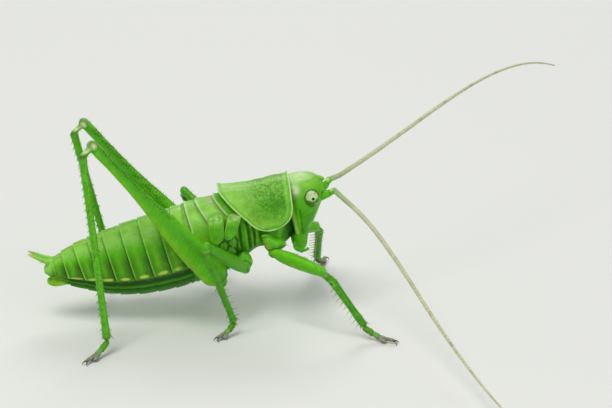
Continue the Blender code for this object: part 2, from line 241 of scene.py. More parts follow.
def sweep(line, sides, first, second, wide, deep, squareness=2.0):
    """Rings of points round a line: wide is their half size along first, and deep along second."""
    first, second = first.reshape(-1, 1, 3), second.reshape(-1, 1, 3)
    a, b = oval(around(sides), squareness)
    wide, deep = np.asarray(wide)[:, None], np.asarray(deep)[:, None]
    return line[:, None] + (wide * a)[..., None] * first + (deep * b)[..., None] * second


def rounded(share, power, least):
    """Half sizes along a lobe with round ends, blunter with a higher power."""
    return np.sqrt(np.clip(1 - (np.abs(share - 0.5) * 2) ** power, least, 1))


def normals(grid):
    """Outward directions of a grid of rows that each run once round."""
    found = np.cross(np.gradient(grid, axis=0), np.roll(grid, -1, 1) - np.roll(grid, 1, 1))
    found = unit(found + 1e-12)
    outward = np.sum(found * (grid - grid.mean(1, keepdims=True)), -1).mean()
    return found * math.copysign(1, outward)


def push(grid, amount):
    return grid + normals(grid) * amount[..., None]


def add_piece(name, points, faces, tints, spots, material, replaced=()):
    """A mesh of points in millimetres, with a colour for each point and an unwrap of its corners."""
    mesh = bpy.data.meshes.new(name)
    mesh.from_pydata((points * MM).tolist(), [], faces)
    colours = np.ones((len(points), 4), np.float32)
    colours[:, :3] = tints
    mesh.attributes.new("tint", "FLOAT_COLOR", "POINT").data.foreach_set("color", colours.ravel())
    mesh.uv_layers.new(name="OFBake").uv.foreach_set("vector", spots.astype(np.float32).ravel())
    mesh.materials.append(material)
    piece = bpy.data.objects.new(name, mesh)
    bpy.context.scene.collection.objects.link(piece)
    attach(piece, "root")
    if replaced:
        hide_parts(*replaced)
    return mesh


class Shape:
    """Gathers closed shapes, with a colour for each point, into one mesh with its unwrap."""

    def __init__(self):
        self.points, self.tints, self.faces, self.maps, self.sizes = [], [], [], [], []
        self.count = 0

    def loft(self, grid, tint, flat_ends=False):
        """A closed shape through rows of points that each run once round, ended by points or by strips."""
        rows, columns = grid.shape[:2]
        tint = np.broadcast_to(tint, grid.shape)
        index = np.arange(rows * columns).reshape(rows, columns)
        right = np.roll(index, -1, 1)
        quads = np.stack([index[:-1], right[:-1], right[1:], index[1:]], -1).reshape(-1, 4)
        turns, over = np.arange(columns) / columns, 1 / columns
        low, high = np.meshgrid(np.linspace(0.02, 0.98, rows)[:-1], turns, indexing="ij")
        up = 0.96 / (rows - 1)
        corners = ((low, high), (low, high + over), (low + up, high + over), (low + up, high))
        maps = np.stack([np.stack(corner, -1) for corner in corners], -2).reshape(-1, 4, 2)
        faces, ends = quads.tolist(), []
        points, tints = [grid.reshape(-1, 3)], [tint.reshape(-1, 3)]
        for row, place, edge in ((0, 0.0, 0.02), (rows - 1, 1.0, 0.98)):
            ring = (index[row][::-1] if row == 0 else index[row]).tolist()
            if flat_ends:
                for i in range(columns // 2 - 1):
                    faces.append([ring[i], ring[i + 1], ring[columns - 2 - i], ring[columns - 1 - i]])
                    turn, next_turn = i / columns, i / columns + over
                    ends.append([(place, turn), (edge, turn), (edge, next_turn), (place, next_turn)])
                continue
            centre = rows * columns + len(points) - 1
            points.append(grid[row].mean(0)[None])
            tints.append(tint[row].mean(0)[None])
            for i in range(columns):
                faces.append([ring[i], ring[(i + 1) % columns], centre])
                ends.append([(edge, i / columns), (edge, (i + 1) / columns), (place, (i + 0.5) / columns)])
        points = np.concatenate(points)
        a, b, c, d = ((points - points.mean(0))[quads[:, corner]] for corner in range(4))
        if (a * (np.cross(b, c) + np.cross(c, d))).sum() < 0:
            maps, ends = maps[:, ::-1], [end[::-1] for end in ends]
            faces = [face[::-1] for face in faces]
        length = np.linalg.norm(np.diff(grid, axis=0), axis=-1).mean(1).sum()
        girth = np.linalg.norm(np.roll(grid, -1, 1) - grid, axis=-1).sum(1).max()
        self.sizes.append((length, girth))
        self.maps.append(np.concatenate([maps.reshape(-1, 2), *ends]))
        self.faces.extend([[corner + self.count for corner in face] for face in faces])
        self.points.append(points)
        self.tints.append(np.concatenate(tints))
        self.count += len(points)

    def lay_out(self):
        """Places the unwraps, at one scale, on shelves of the unit square."""
        sizes = np.array(self.sizes)
        order = np.argsort(-sizes[:, 1], kind="stable")
        scale = 0.98 / max(sizes.max(), math.sqrt((sizes[:, 0] * sizes[:, 1]).sum()))
        while True:
            x, y, shelf, corners = 0.0, 0.0, 0.0, {}
            for i in order:
                wide, tall = sizes[i] * scale
                if x + wide > 1:
                    x, y, shelf = 0.0, y + shelf, 0.0
                corners[i] = (x, y)
                x, shelf = x + wide, max(shelf, tall)
            if y + shelf <= 1:
                break
            scale *= 0.96
        sizes = sizes * scale * 0.99
        return np.concatenate([corners[i] + spots * sizes[i] for i, spots in enumerate(self.maps)])

    def make(self, name, material, slot, *replaced):
        points, tints = np.concatenate(self.points), np.concatenate(self.tints)
        add_piece(name, points, self.faces, tints, self.lay_out(), material, replaced).shade_smooth()


# ---------------------------------------------------------------- materials


def fill(tree, node, inputs):
    """Sets or links a node's inputs by name."""
    for name, value in inputs.items():
        if isinstance(value, bpy.types.NodeSocket):
            tree.links.new(value, node.inputs[name])
        else:
            node.inputs[name].default_value = value


def add(tree, kind, output, **inputs):
    """Adds a shader node, with its inputs by name, and gives one of its outputs."""
    node = tree.nodes.new("ShaderNode" + kind)
    fill(tree, node, {name.replace("_", " "): value for name, value in inputs.items()})
    return node.outputs[output]


def new_material(name):
    material = bpy.data.materials.new(name)
    material.use_nodes = True
    return material, material.node_tree, material.node_tree.nodes["Principled BSDF"]


def cuticle(name, roughness=0.42, bumps=((0.05, 0.25), (0.35, 0.35)), glow=0.22, coat=0.08, vary=0.10):
    """Insect skin: its painted colour, finely mottled, uneven gloss, small bumps, some light let through."""
    material, tree, shader = new_material(name)
    place = add(tree, "TexCoord", "Object")
    attribute = tree.nodes.new("ShaderNodeAttribute")
    attribute.attribute_name = "tint"

    def mottle(size, detail):
        return add(tree, "TexNoise", "Fac", Vector=place, Scale=1 / (size * MM), Detail=detail)

    def uneven(size, detail, low, high):
        ends = {"From_Min": 0.3, "From_Max": 0.7, "To_Min": low, "To_Max": high}
        return add(tree, "MapRange", "Result", Value=mottle(size, detail), **ends)

    tone, hue = uneven(0.45, 3, 1 - vary, 1 + vary), uneven(0.16, 2, 0.5 - 0.06 * vary, 0.5 + 0.06 * vary)
    broad = add(tree, "HueSaturation", "Color", Color=attribute.outputs["Color"], Value=tone, Hue=hue)
    fine = uneven(0.045, 1, 1 - 0.6 * vary, 1 + 0.6 * vary)
    normal = {}
    for size, strength in bumps:
        normal |= {"Strength": strength, "Distance": size * MM * 0.25, "Height": mottle(size, 2)}
        normal = {"Normal": add(tree, "Bump", "Normal", **normal)}
    fill(tree, shader, {
        "Base Color": add(tree, "HueSaturation", "Color", Color=broad, Value=fine),
        "Roughness": uneven(0.12, 2, roughness - 0.07, roughness + 0.09),
        **normal,
        "Subsurface Weight": glow,
        "Subsurface Radius": (0.35, 1.0, 0.06),
        "Subsurface Scale": 0.45 * MM,
        "Specular IOR Level": 0.18,
        "Coat Weight": coat * 0.6,
        "Coat Roughness": 0.3,
    })
    return material


def facetted_eye():
    """A compound eye: its painted colour under a glossy skin of tiny facets."""
    material = cuticle("compound_eye", 0.24, ((0.2, 0.1),), 0.15, 0.5, 0.06)
    tree = material.node_tree
    place = add(tree, "TexCoord", "Object")
    facets = add(tree, "TexVoronoi", "Distance", Vector=place, Scale=1 / (0.035 * MM))
    bump = add(tree, "Bump", "Normal", Strength=0.35, Distance=0.006 * MM, Height=facets)
    bump.node.invert = True
    fill(tree, tree.nodes["Principled BSDF"], {"Normal": bump, "Coat Roughness": 0.12})
    return material


SKIN = cuticle("green_cuticle")
SHELL = cuticle("collar_plate", 0.40, ((0.05, 0.35), (0.14, 0.3)), 0.18, 0.12)
LIMB = cuticle("leg_cuticle", 0.38, ((0.04, 0.22), (0.25, 0.25)), 0.30, 0.15)
HORN = cuticle("dark_spine", 0.30, ((0.03, 0.2),), 0.05, 0.3)
THREAD = cuticle("feeler_cuticle", 0.5, ((0.03, 0.3),), 0.10, 0.0)
HAIR = cuticle("fine_hair", 0.45, ((0.03, 0.1),), 0.0, 0.0)
EYE = facetted_eye()


# ---------------------------------------------------------------- hairs and spines


def spike(shape, root, heading, length, radius, root_tint, tip_tint, bend):
    """A tapering spine that bends towards a direction."""
    heading = unit(heading)
    share = np.array((-0.12, 0.0, 0.25, 0.5, 0.75, 0.93, 1.0))
    thick = radius * np.array((1.3, 1.15, 0.85, 0.62, 0.38, 0.16, 0.05))
    line = root + heading * (share * length)[:, None] + bend * (np.maximum(share, 0) ** 2 * length)[:, None]
    side = unit(np.cross(heading, RISE + 0.01 * LEFT))
    grid = sweep(line, 7, side, np.cross(side, heading), thick, thick)
    shape.loft(grid, paint(grid, root_tint, (tip_tint, ease(share, 0.25, 0.8)[:, None])))


class Coat:
    """Gathers fine three-sided hairs; each has a small patch at its root's place on the skin's unwrap."""

    TURNS = (0.0, 2.09, 4.19)  # where a hair's three sides meet, in radians
    WALLS = [[(i, j, j + 3), (i, j + 3, i + 3), (i + 3, j + 3, 6)] for i, j in ((0, 1), (1, 2), (2, 0))]
    FACES = np.array([(0, 2, 1), *WALLS[0], *WALLS[1], *WALLS[2]])

    def __init__(self):
        self.hairs = []

    def add(self, roots, headings, lengths, width, tint, places):
        widths, tints = np.full((len(roots), 1), width * 0.72), np.tile(tint, (len(roots), 7, 1))
        self.hairs.append((roots, unit(headings), lengths[:, None], widths, tints, places))

    def make(self, name, slot):
        roots, headings, lengths, widths, tints, places = (np.concatenate(part) for part in zip(*self.hairs))
        side = unit(np.cross(headings, RISE + 0.013 * AHEAD))
        other = np.cross(headings, side)
        ring = [widths * (math.cos(turn) * side + math.sin(turn) * other) for turn in self.TURNS]
        middle = roots + headings * lengths * 0.55 - RISE * lengths * 0.04
        tip = roots + headings * lengths - RISE * lengths * 0.14
        points = np.stack([roots + r for r in ring] + [middle + 0.6 * r for r in ring] + [tip], 1)
        corners = np.arange(len(roots))[:, None, None] * 7 + self.FACES
        patch = np.array([(math.cos(a), math.sin(a)) for a in (0, 2.1, 4.2, 1.0, 3.1, 5.2)] + [(0.0, 0.0)])
        spots = (places[:, None] * 0.99 + 0.005 + patch * 0.0015)[:, self.FACES.ravel()]
        faces = corners.reshape(-1, 3).tolist()
        add_piece(name, points.reshape(-1, 3), faces, tints.reshape(-1, 3), spots.reshape(-1, 2), HAIR)


def scatter(coat, grid, count, rows, columns, length, width, tint, lean, strip):
    """Sows hairs on shares of a grid's rows and columns; lean pulls them over, strip is their map band."""
    outward = normals(grid)
    r = random.uniform(*rows, count)
    c = random.uniform(*columns, count) % 1.0
    i = np.minimum((r * (len(grid) - 1)).astype(int), len(grid) - 1)
    j = (c * grid.shape[1]).astype(int) % grid.shape[1]
    headings = outward[i, j] + lean + random.normal(0, 0.14, (count, 3))
    lengths = length * random.uniform(0.6, 1.25, count)
    places = np.stack([r, strip[0] + (strip[1] - strip[0]) * c], -1)
    coat.add(grid[i, j], headings, lengths, width, tint, places)


# ---------------------------------------------------------------- abdomen

SEGMENT_LENGTHS = (0.85, 1.00, 1.20, 1.25, 1.20, 1.00, 0.95, 0.85, 0.70, 0.60)
SEGMENT_REARS = -np.cumsum(SEGMENT_LENGTHS)
ABDOMEN_END = SEGMENT_REARS[-1]
FLANK_SHIFT = 0.42  # how far a segment's edge runs forward on its way down the flank
TERGITE_END = 108.0  # degrees down from the back where the back plates end
STERNITE_START = 137.0
SPIRACLE_TURN = 113.5 / 360  # where round the abdomen the breathing holes sit


def trunk_profile(node, first, last, degree):
    """Top, bottom and half width along the body, as smooth functions of x, from the solid's sections."""
    places = np.linspace(first, last, 40)
    cuts = body_cuts(node, AHEAD, places)
    rows = [(cut[:, 2].max(), cut[:, 2].min(), np.abs(cut[:, 1]).max()) for cut in cuts]
    found = fits(places, rows, degree)
    return lambda x: [fit(np.clip(x, min(first, last), max(first, last))) for fit in found]


def trunk_grid(x, angle, profile, squareness):
    """Body-frame points of a trunk's skin; the angle runs from the back over the left flank."""
    top, bottom, half = profile(x)
    rise, aside = oval(angle, squareness)
    return np.stack([x, half * aside, (top + bottom) / 2 + (top - bottom) / 2 * rise], -1)


def trunk_middle(grid):
    """Height of the middle of each ring of a trunk grid."""
    return (grid[..., 2].max(1, keepdims=True) + grid[..., 2].min(1, keepdims=True)) / 2


def girdle(count):
    """Angles round the trunk and how far each is down from the back, in degrees."""
    angle = around(count)[None]
    return angle, np.degrees(np.minimum(angle, 2 * np.pi - angle))


def bare_abdomen():
    """Body-frame points of the abdomen, how far down each is, and how far its rings narrow at the tail."""
    angle, down = girdle(230)
    x = np.linspace(0.30, ABDOMEN_END - 0.02, 420)[:, None] + 0 * angle
    grid = trunk_grid(x, angle, trunk_profile("abdomen", -0.05, ABDOMEN_END + 0.05, 7), 2.15)
    below = np.minimum(grid[..., 2] - trunk_middle(grid), 0)
    grid[..., 2] -= below * 0.62 * ease(-x, 8.3, 9.4)  # the belly rises towards the tail
    tail = np.sqrt(np.clip(1 - (np.maximum(-x + ABDOMEN_END + 0.36, 0) / 0.40) ** 2, 0.02, 1))
    tail = tail * (1 + 0.38 * bell(x + 9.16, 0.20) * (x < -8.9))
    middle = grid[..., 1:].mean(1, keepdims=True)
    grid[..., 1:] = middle + (grid[..., 1:] - middle) * tail[..., None]
    return grid, down + 0 * x, tail


def segment_marks(x, down):
    """Where each point lies in its segment, and on the back plates, the flanks or the belly."""
    on = SimpleNamespace()
    shifted = x - FLANK_SHIFT * (np.minimum(down, TERGITE_END) / TERGITE_END) ** 1.4 * ease(x, -9.3, -6.5)
    edges = np.concatenate([[0.15], SEGMENT_REARS])
    index = np.clip(np.searchsorted(-edges, -shifted, side="right") - 1, 0, len(SEGMENT_REARS) - 1)
    on.to_rear = shifted - edges[index + 1]
    on.to_front = np.maximum(edges[index] - shifted, 0)
    on.length = (edges[:-1] - edges[1:])[index]
    on.share = np.clip(on.to_front / on.length, 0, 1)
    on.back = 1 - ease(down, TERGITE_END - 1.5, TERGITE_END + 2.5)
    on.belly = ease(down, STERNITE_START - 2, STERNITE_START + 3)
    on.side = (1 - on.back) * (1 - on.belly)
    on.calm = 1 - 0.8 * ease(-x, 8.5, 9.15)
    on.lip = bell(on.to_rear - 0.045, 0.05) * (0.55 + 0.45 * ease(x, -8.5, -5.0)) * on.calm
    on.trough = np.exp(-on.to_front / 0.10) * on.calm
    on.folds = np.cos(np.radians(down - TERGITE_END) * 19)
    return on


def abdomen_relief(grid, world, down, on):
    lumps = grain(world, 0.5)
    wrinkles = grain(world * (1.0, 1.0, 0.25), 0.16)
    swell = 0.045 * on.share - 0.11 * on.trough + 0.022 * on.lip
    pillow = ease(down, 50, 80) * (1 - ease(down, 98, 106)) * bell(on.share - 0.55, 0.3)
    keel = bell(grid[..., 1], 0.05) * (down < 90)
    height = on.back * (swell + 0.012 * lumps + 0.006 * wrinkles + 0.05 * pillow + 0.012 * keel)
    height += on.belly * (0.6 * swell + 0.008 * lumps)
    return height + on.side * (-0.10 + 0.045 * on.folds - 0.05 * on.trough + 0.02 * lumps)


def abdomen_tint(skin, x, world, down, on):
    """Pale back, green flanks with yellow dashes and a dark belly, with a pale rear edge to each segment.
    Lighter along the back and darker down the flanks and under the belly: partly the nymph's own colour,
    partly painted highlight and painted shade. The flanks, grooves and pleats also carry painted light and
    shade.
    """
    fore = ease(x, -3.4, 0.2)
    flank = ease(down, 52, 84) * (1 - ease(down, 100, 106))
    gleam = ease(down, 40, 80) * (1 - ease(down, 92, 104)) * bell(on.share - 0.55, 0.16)
    # shoulder: a painted highlight on the upper curve of each segment
    shoulder = bell(on.share - 0.5, 0.28) * (1 - ease(down, 22, 52)) * ease(down, 6, 14)
    blotch = ease(grain(world, 0.34, 3.1), 0.05, 0.5) * fore * ease(down, 35, 60) * on.back
    # a maroon tinge deepened by painted shade, in the groove at each segment's front, low on the back plates
    maroon_groove_shade = np.exp(-on.to_front / 0.17) * ease(down, 66, 82) * on.back * on.calm * (1 - 0.5 * fore)
    mid_line = bell(skin[..., 1] - WAIST[1], 0.045) * (down < 60) * (1 - 0.4 * on.lip)
    dash = np.hypot((on.share - 0.50) * on.length / 0.36, (down - TERGITE_END + 3.8) / 3.6)
    dash = dash + 0.25 * grain(world, 0.3)
    dash = (1 - ease(dash, 0.55, 1.15)) * (1 - ease(x, -1.2, -0.6)) * ease(x, -8.4, -7.6)
    # pleats: the flank's membrane, near-black in the folds' valleys as painted shade, dark green on their
    # crests
    pleats = paint(world, SHADE, (DEEP * 0.9, ease(on.folds, -0.1, 0.9)))
    # underside: the belly darkened as painted shade, lime along its middle
    underside = paint(world, DEEP * 0.7, (LIME, 0.55 * ease(down, 158, 176)))
    tip = ease(-x, -ABDOMEN_END - 1.0, -ABDOMEN_END - 0.2) * (1 - ease(down, 60, 100))
    return paint(
        world,
        PALE,
        # darker down the flanks, lighter along the back: partly the nymph's own colour, partly painted shade
        # and painted highlight
        (LEAF, ease(down, 33 + 17 * fore, 64 + 25 * fore)),
        (DEEP, 0.90 * ease(down, 50, 84) * (1 - 0.75 * fore)),
        # on each segment's flank: painted shade towards its ends and a painted highlight (gleam) in its
        # middle
        (DEEP * 0.6, 0.60 * flank * (1 - bell(on.share - 0.55, 0.30))),
        (LIME, 0.45 * gleam),
        (PALE * 1.12, 0.55 * shoulder),
        # cream along the ridge of the back in front: painted highlight
        (CREAM * 0.85, 0.30 * (1 - ease(down, 4, 16)) * fore),
        (LIME, 0.5 * blotch),
        # painted shadow where each back plate's front lies under the rear edge of the plate before it
        (SHADE, 0.55 * np.exp(-on.to_front / 0.13) * ease(down, 8, 22) * on.back * on.calm),
        # maroon tinge and painted shade in the grooves
        (MAROON, 0.78 * maroon_groove_shade),
        (PALE * 1.15, 0.80 * bell(on.to_rear - 0.03, 0.055) * on.back * ease(down, 5, 14) * on.calm),
        (SHADE * 1.4, 0.60 * mid_line),
        (YELLOW * 1.08, dash),
        (pleats, on.side),
        (underside, on.belly),
        (LIME, 0.8 * ease(-x, 8.0, 9.0) * ease(down, TERGITE_END, TERGITE_END + 8)),
        (LIME * 1.1, 0.7 * ease(down, 166, 176) * on.belly),
        # painted shade in the groove at the front of each belly plate
        (SHADE, 0.6 * on.trough * on.belly),
        (PALE * 1.15, tip),
        (SHADE, 0.14 * ease(grain(world, 0.07), 0.34, 0.5) * on.back),
    )


def make_abdomen(coat):
    grid, down, tail = bare_abdomen()
    x, world = grid[..., 0], to_world(grid)
    on = segment_marks(x, down)
    skin = push(world, abdomen_relief(grid, world, down, on) * ease(tail, 0.1, 0.8))
    shape = Shape()
    shape.loft(skin, abdomen_tint(skin, x, world, down, on))
    outward = normals(skin)
    for rear, length in zip(SEGMENT_REARS[:8], SEGMENT_LENGTHS):
        row = int(np.argmin(np.abs(x[:, 0] - (rear + 0.62 * length + FLANK_SHIFT))))
        for turn in (SPIRACLE_TURN, 1 - SPIRACLE_TURN):
            spot = row, int(turn * skin.shape[1])
            ring_and_pit(shape, skin[spot], outward[spot], 0.034, LEAF)
    shape.make("abdomen_skin", SKIN, "leaf_green", "abdomen")
    for columns, strip in (((0.0, 0.30), (0.0, 0.5)), ((0.70, 1.0), (0.5, 1.0))):
        scatter(coat, skin, 420, (0.05, 0.97), columns, 0.11, 0.006, LIME * 0.7, -AHEAD * 1.6, strip)


def ring_and_pit(shape, centre, outward, radius, tint, tall=1.5):
    """A breathing hole: a small oval ring seated in the skin, its floor painted black as painted shade inside
    the hole.
    """
    flat = unit(np.cross(outward, RISE))
    high = np.cross(flat, outward) * tall
    grow, lift = np.array(((1.5, -0.6), (1.25, 0.35), (0.95, 0.5), (0.72, 0.2), (0.35, -0.1))).T * radius
    grid = sweep(centre + outward * lift[:, None], 14, flat, high, grow, grow)
    shape.loft(grid, paint(grid, tint, (BLACK, np.array((0, 0, 0, 1, 1))[:, None])))


# ---------------------------------------------------------------- thorax

# Ridges and grooves of the side plates in the body frame, as x and z; their y is the skin's own
PLEURAL_RIDGES = (
    ((3.66, 1.20), (3.68, 0.40), (3.60, -0.70)),
    ((4.04, 1.05), (4.06, 0.30), (3.98, -0.78)),
    ((4.42, 0.90), (4.36, 0.20), (4.22, -0.62)),
    ((2.92, 1.10), (2.86, 0.30), (2.60, -0.55)),
)
PLEURAL_GROOVES = (
    ((3.86, 1.20), (3.88, 0.40), (3.79, -0.80)),
    ((4.22, 1.05), (4.22, 0.25), (4.10, -0.74)),
    ((3.36, 1.10), (3.30, 0.30), (3.24, -0.95)),
    ((4.66, 0.90), (4.62, 0.10), (4.56, -0.70)),
)
BREATHING_HOLE = (3.08, 0.06)
COXA_SOCKET = (5.05, -0.42)


def bare_thorax():
    """Body-frame points of the thorax, narrowed to a neck in front, and how far down each is."""
    angle, down = girdle(220)
    x = np.linspace(-0.12, 7.0, 270)[:, None] + 0 * angle
    grid = trunk_grid(x, angle, trunk_profile("thorax", 0.06, 6.45, 8), 2.3)
    neck = np.sqrt(np.clip(1 - (np.maximum(x - 6.10, 0) / 0.93) ** 2, 0.02, 1))
    core = np.stack([0 * x, trunk_middle(grid) + 0 * x], -1)
    grid[..., 1:] = core + (grid[..., 1:] - core) * neck[..., None]
    return grid, down + 0 * x


def back_steps(x, down, meso, meta):
    """Where the plates of the back step up at their rear edges, the edges' lips, and the troughs behind."""
    waist = 0.10 + 0.40 * (down / 105) ** 1.4
    steps, lips, troughs = 0.0, 0.0, 0.0
    for edge, reach in ((meso, 62), (meta, 62), (waist, 120)):
        shown = 1 - ease(down, reach - 8, reach)
        ahead = x - edge
        lips = np.maximum(lips, bell(ahead - 0.05, 0.055) * shown)
        troughs = np.maximum(troughs, np.exp(-np.maximum(-ahead, 0) / 0.12) * (ahead < 0) * shown)
        steps = steps + np.exp(-np.maximum(ahead, 0) / 0.5) * (ahead >= 0) * shown
    return steps, lips, troughs


def thorax_marks(grid, down):
    """Masks of the side ridges and grooves, the steps of the back, the seams, a fold and the leg sockets."""
    on = SimpleNamespace()
    x, y, z = grid[..., 0], np.abs(grid[..., 1]), grid[..., 2]
    on.side_view = np.stack([x, z], -1)
    on.flank = ease(down, 50, 66) * (1 - ease(down, 140, 156))
    on.ridge = np.max([stroke(on.side_view, path, 0.060) for path in PLEURAL_RIDGES], 0)
    on.groove = np.max([stroke(on.side_view, path, 0.085) for path in PLEURAL_GROOVES], 0)
    on.meso, meta = (start + 0.55 * (down / turn) ** 1.5 for start, turn in ((2.02, 50), (0.84, 54)))
    on.steps, on.lips, on.troughs = back_steps(x, down, on.meso, meta)
    stretched = np.stack([x, y * 0.3, z * 0.62], -1)
    seams = cells(stretched + 0.12 * grain(stretched, 0.5)[..., None] + 3.0, 0.62)
    creased = ease(down, 78, 92) * ease(x, 0.9, 1.5) * (1 - ease(x, 3.0, 3.4))
    on.sunk, on.raised = (1 - ease(seams, 0.02, 0.22)) * creased, bell(seams - 0.24, 0.09) * creased
    on.fold = x - 5.85 - 0.12 * np.sin(3 * z)
    on.socket = blob(x - COXA_SOCKET[0], z - COXA_SOCKET[1], (0.62, 0.50)) * (down > 60)
    return on


def thorax_relief(x, world, on):
    scratches = grain(world * (1.0, 1.0, 0.35), 0.15)
    height = -0.07 * on.sunk + 0.03 * on.raised + 0.02 * grain(world, 0.55)
    height = height + 0.05 * on.steps + 0.03 * on.lips - 0.09 * on.troughs
    height += on.flank * (0.075 * on.ridge - 0.11 * on.groove + 0.02 * scratches)
    height += 0.05 * on.flank * bell(on.fold, 0.22) + 0.34 * on.socket
    return height - 0.10 * (1 - ease(x, -0.12, 0.0))


def thorax_tint(x, world, down, on):
    soft = ease(grain(world, 0.4, 5.0), -0.1, 0.4) * (down < 50) * (x < on.meso)
    mottled = ease(down, 84, 100) * ease(grain(world, 0.28, 2.0), -0.2, 0.3)
    streaks = ease(grain(world * (1.0, 1.0, 0.2), 0.10, 2.0), 0.05, 0.4)
    return paint(
        world,
        PALE,
        # lighter on the back and darker down the sides: partly the nymph's own colour, partly painted
        # highlight and painted shade
        (LEAF, ease(down, 44, 80)),
        (DEEP, 0.8 * ease(down, 84, 120)),
        (LEAF * 0.9, (down < 58) * ease(x - on.meso, 0.05, 0.2) * (x < 3.6)),
        (PALE * 1.12, 0.7 * soft),
        (BLUSH, 0.7 * blob(x - 1.95, down - 9, (0.34, 13)) * (x < on.meso)),
        (LIME, 0.5 * ease(down, 60, 80) * (1 - ease(down, 100, 120)) * (x < 1.6)),
        # painted shade in the troughs behind the back plates' rear edges
        (SHADE, 0.75 * on.troughs),
        (CREAM * 0.9, 0.85 * on.lips),
        (DEEP * 0.7, 0.45 * mottled),
        # painted shade in the sunk seams and the side grooves, painted highlight on the raised cells and the
        # side ridges
        (SHADE * 0.7, 0.85 * on.sunk),
        (PALE * 0.9, 0.5 * on.raised),
        (SHADE, on.flank * 0.9 * on.groove),
        (PALE * 0.9, on.flank * 0.8 * on.ridge),
        (DEEP * 0.6, 0.5 * on.flank * streaks * ease(x, 2.6, 3.2) * (1 - ease(x, 4.5, 4.8))),
        # painted shade on the flank under the collar plate
        (DEEP * 0.8, 0.75 * on.flank * ease(x, 4.5, 5.2)),
        # painted highlight along the fold's ridge
        (LEAF * 1.3, 0.75 * bell(on.fold, 0.20) * on.flank),
        (LEAF * (1.3, 1.05, 1.0), 0.8 * on.socket),
        # painted shade on the neck, under the collar plate and the head
        (SHADE * 1.2, ease(x, 6.15, 6.5)),
    )


def make_thorax():
    grid, down = bare_thorax()
    x, world = grid[..., 0], to_world(grid)
    on = thorax_marks(grid, down)
    skin = push(world, thorax_relief(x, world, on))
    shape = Shape()
    shape.loft(skin, thorax_tint(x, world, down, on))
    outward = normals(skin)
    off = np.linalg.norm(on.side_view - BREATHING_HOLE, axis=-1)
    for sign in SIDES.values():
        miss = off + 9 * (np.sign(to_body(skin)[..., 1]) != sign)
        spot = np.unravel_index(np.argmin(miss), miss.shape)
        ring_and_pit(shape, skin[spot], outward[spot], 0.075, DEEP, 1.9)
    shape.make("thorax_skin", SKIN, "pale_green", "thorax")


# ---------------------------------------------------------------- collar plate


def shell_line(count):
    """The collar plate's cross line: side and height from the right lobe over the back to the left lobe."""
    low, high = body_box("pronotum")
    bottom, top = low[2], high[2]
    heights = bottom + (top - 0.10 - bottom) * np.sin(np.linspace(0.02, 0.5, 16) * np.pi)
    cuts = body_cuts("pronotum", UP, heights[:-1])
    half = np.array([(np.abs(cut[:, 1]).max(), z) for cut, z in zip(cuts, heights)] + [(0.0, top - 0.07)])
    line = np.concatenate([half * (-1, 1), half[-2::-1]])
    way = travelled(line)
    places = np.linspace(0, way[-1], count)
    return curve(way, line, places), np.minimum(places, way[-1] - places)


def shell_reach(heights):
    """Rear and front margin of the collar plate at each height."""
    low, high = body_box("pronotum")
    keys = np.linspace(low[2] + 0.02, high[2] - 0.45, 16)
    rows = [(cut[:, 0].min(), cut[:, 0].max()) for cut in body_cuts("pronotum", UP, keys)]
    rear, front = (fit(np.clip(heights, keys[0], keys[-1])) for fit in fits(keys, rows, 4))
    above = np.maximum(heights - keys[-1], 0)
    return rear - 0.72 * above, front + 0.05 * above


def bare_plate():
    """Body-frame points of the plate's outside, outward directions across it, and the way to its margin."""
    line, to_lobe = shell_line(330)
    rear, front = shell_reach(line[:, 1])
    corner = 0.80
    low = np.clip((line[:, 1].min() + corner - line[:, 1]) / corner, 0, 1)
    keep = np.sqrt(1 - 0.97 * low**2.6)
    middle = (rear + front) / 2 + 0.04 * low
    rear, front = middle + (rear - middle) * keep, middle + (front - middle) * keep
    share = np.linspace(0, 1, 190)
    share = (share - 0.035 * np.sin(2 * np.pi * share))[:, None]
    x = rear + (front - rear) * share
    tangent = np.gradient(line, axis=0)
    out = unit(np.stack([-tangent[:, 1], tangent[:, 0]], -1))
    out *= np.sign(np.sum(out * (line - (0, 1.2)), -1))[:, None]
    y, z = line[:, 0] + 0 * x, line[:, 1] + 0 * x
    sag = 0.24 * np.sin(np.pi * share) ** 0.8 + 0.13 * ease(share, 0.75, 1.0)
    z = z - sag * ease(z, 2.2, 3.3) - 0.25 * ease(-z, -1.45, -0.75)
    edge = np.minimum(np.minimum(x - rear, front - x), to_lobe + 0.02)
    return np.stack([x, y, z], -1), out, edge


def plate_marks(body, world, edge):
    """Masks of the plate's rough front, the borders of its pits, the gutter, the furrows and the keel."""
    x, y, z = np.moveaxis(body, -1, 0)
    on = SimpleNamespace()
    on.rough = ease(x, 3.6, 5.0) * (1 - 0.75 * ease(1.9 - z, 0, 0.9)) * ease(edge, 0.22, 0.5)
    on.border = cells(world * (1.0, 1.0, 0.8) + 0.05 * grain(world, 0.2)[..., None], 0.108)
    on.gutter = bell(edge - 0.19, 0.075)
    furrow_x = 5.35 + 0.55 * ease(np.abs(y), 0.2, 1.8) - 0.35 * bell(y, 0.5)
    on.furrow = bell(x - furrow_x, 0.07) * ease(z, 1.7, 2.4) * 0.8
    on.front_furrow = bell(x - (6.62 - 0.12 * np.abs(y) / np.abs(y).max()), 0.06) * ease(z, 0.9, 1.6)
    on.keel = bell(y, 0.045)
    return on


def plate_relief(body, world, edge, on):
    gaps = (1 - ease(on.border, 0.05, 0.42)) * (0.20 + 0.80 * on.rough)
    rear_dent = stroke(body * (1, 0, 1), ((3.9, 0, 2.35), (4.6, 0, 1.5), (5.3, 0, 1.15)), 0.12)
    height = 0.045 * bell(edge - 0.05, 0.055) - 0.035 * on.gutter - 0.028 * gaps * ease(edge, 0.12, 0.3)
    height += 0.008 * grain(world, 0.07) + 0.03 * grain(world, 0.9) * ease(edge, 0.1, 0.5)
    height += 0.015 * on.keel * ease(edge, 0.1, 0.3)
    return height - 0.035 * on.furrow - 0.03 * on.front_furrow - 0.02 * rear_dent


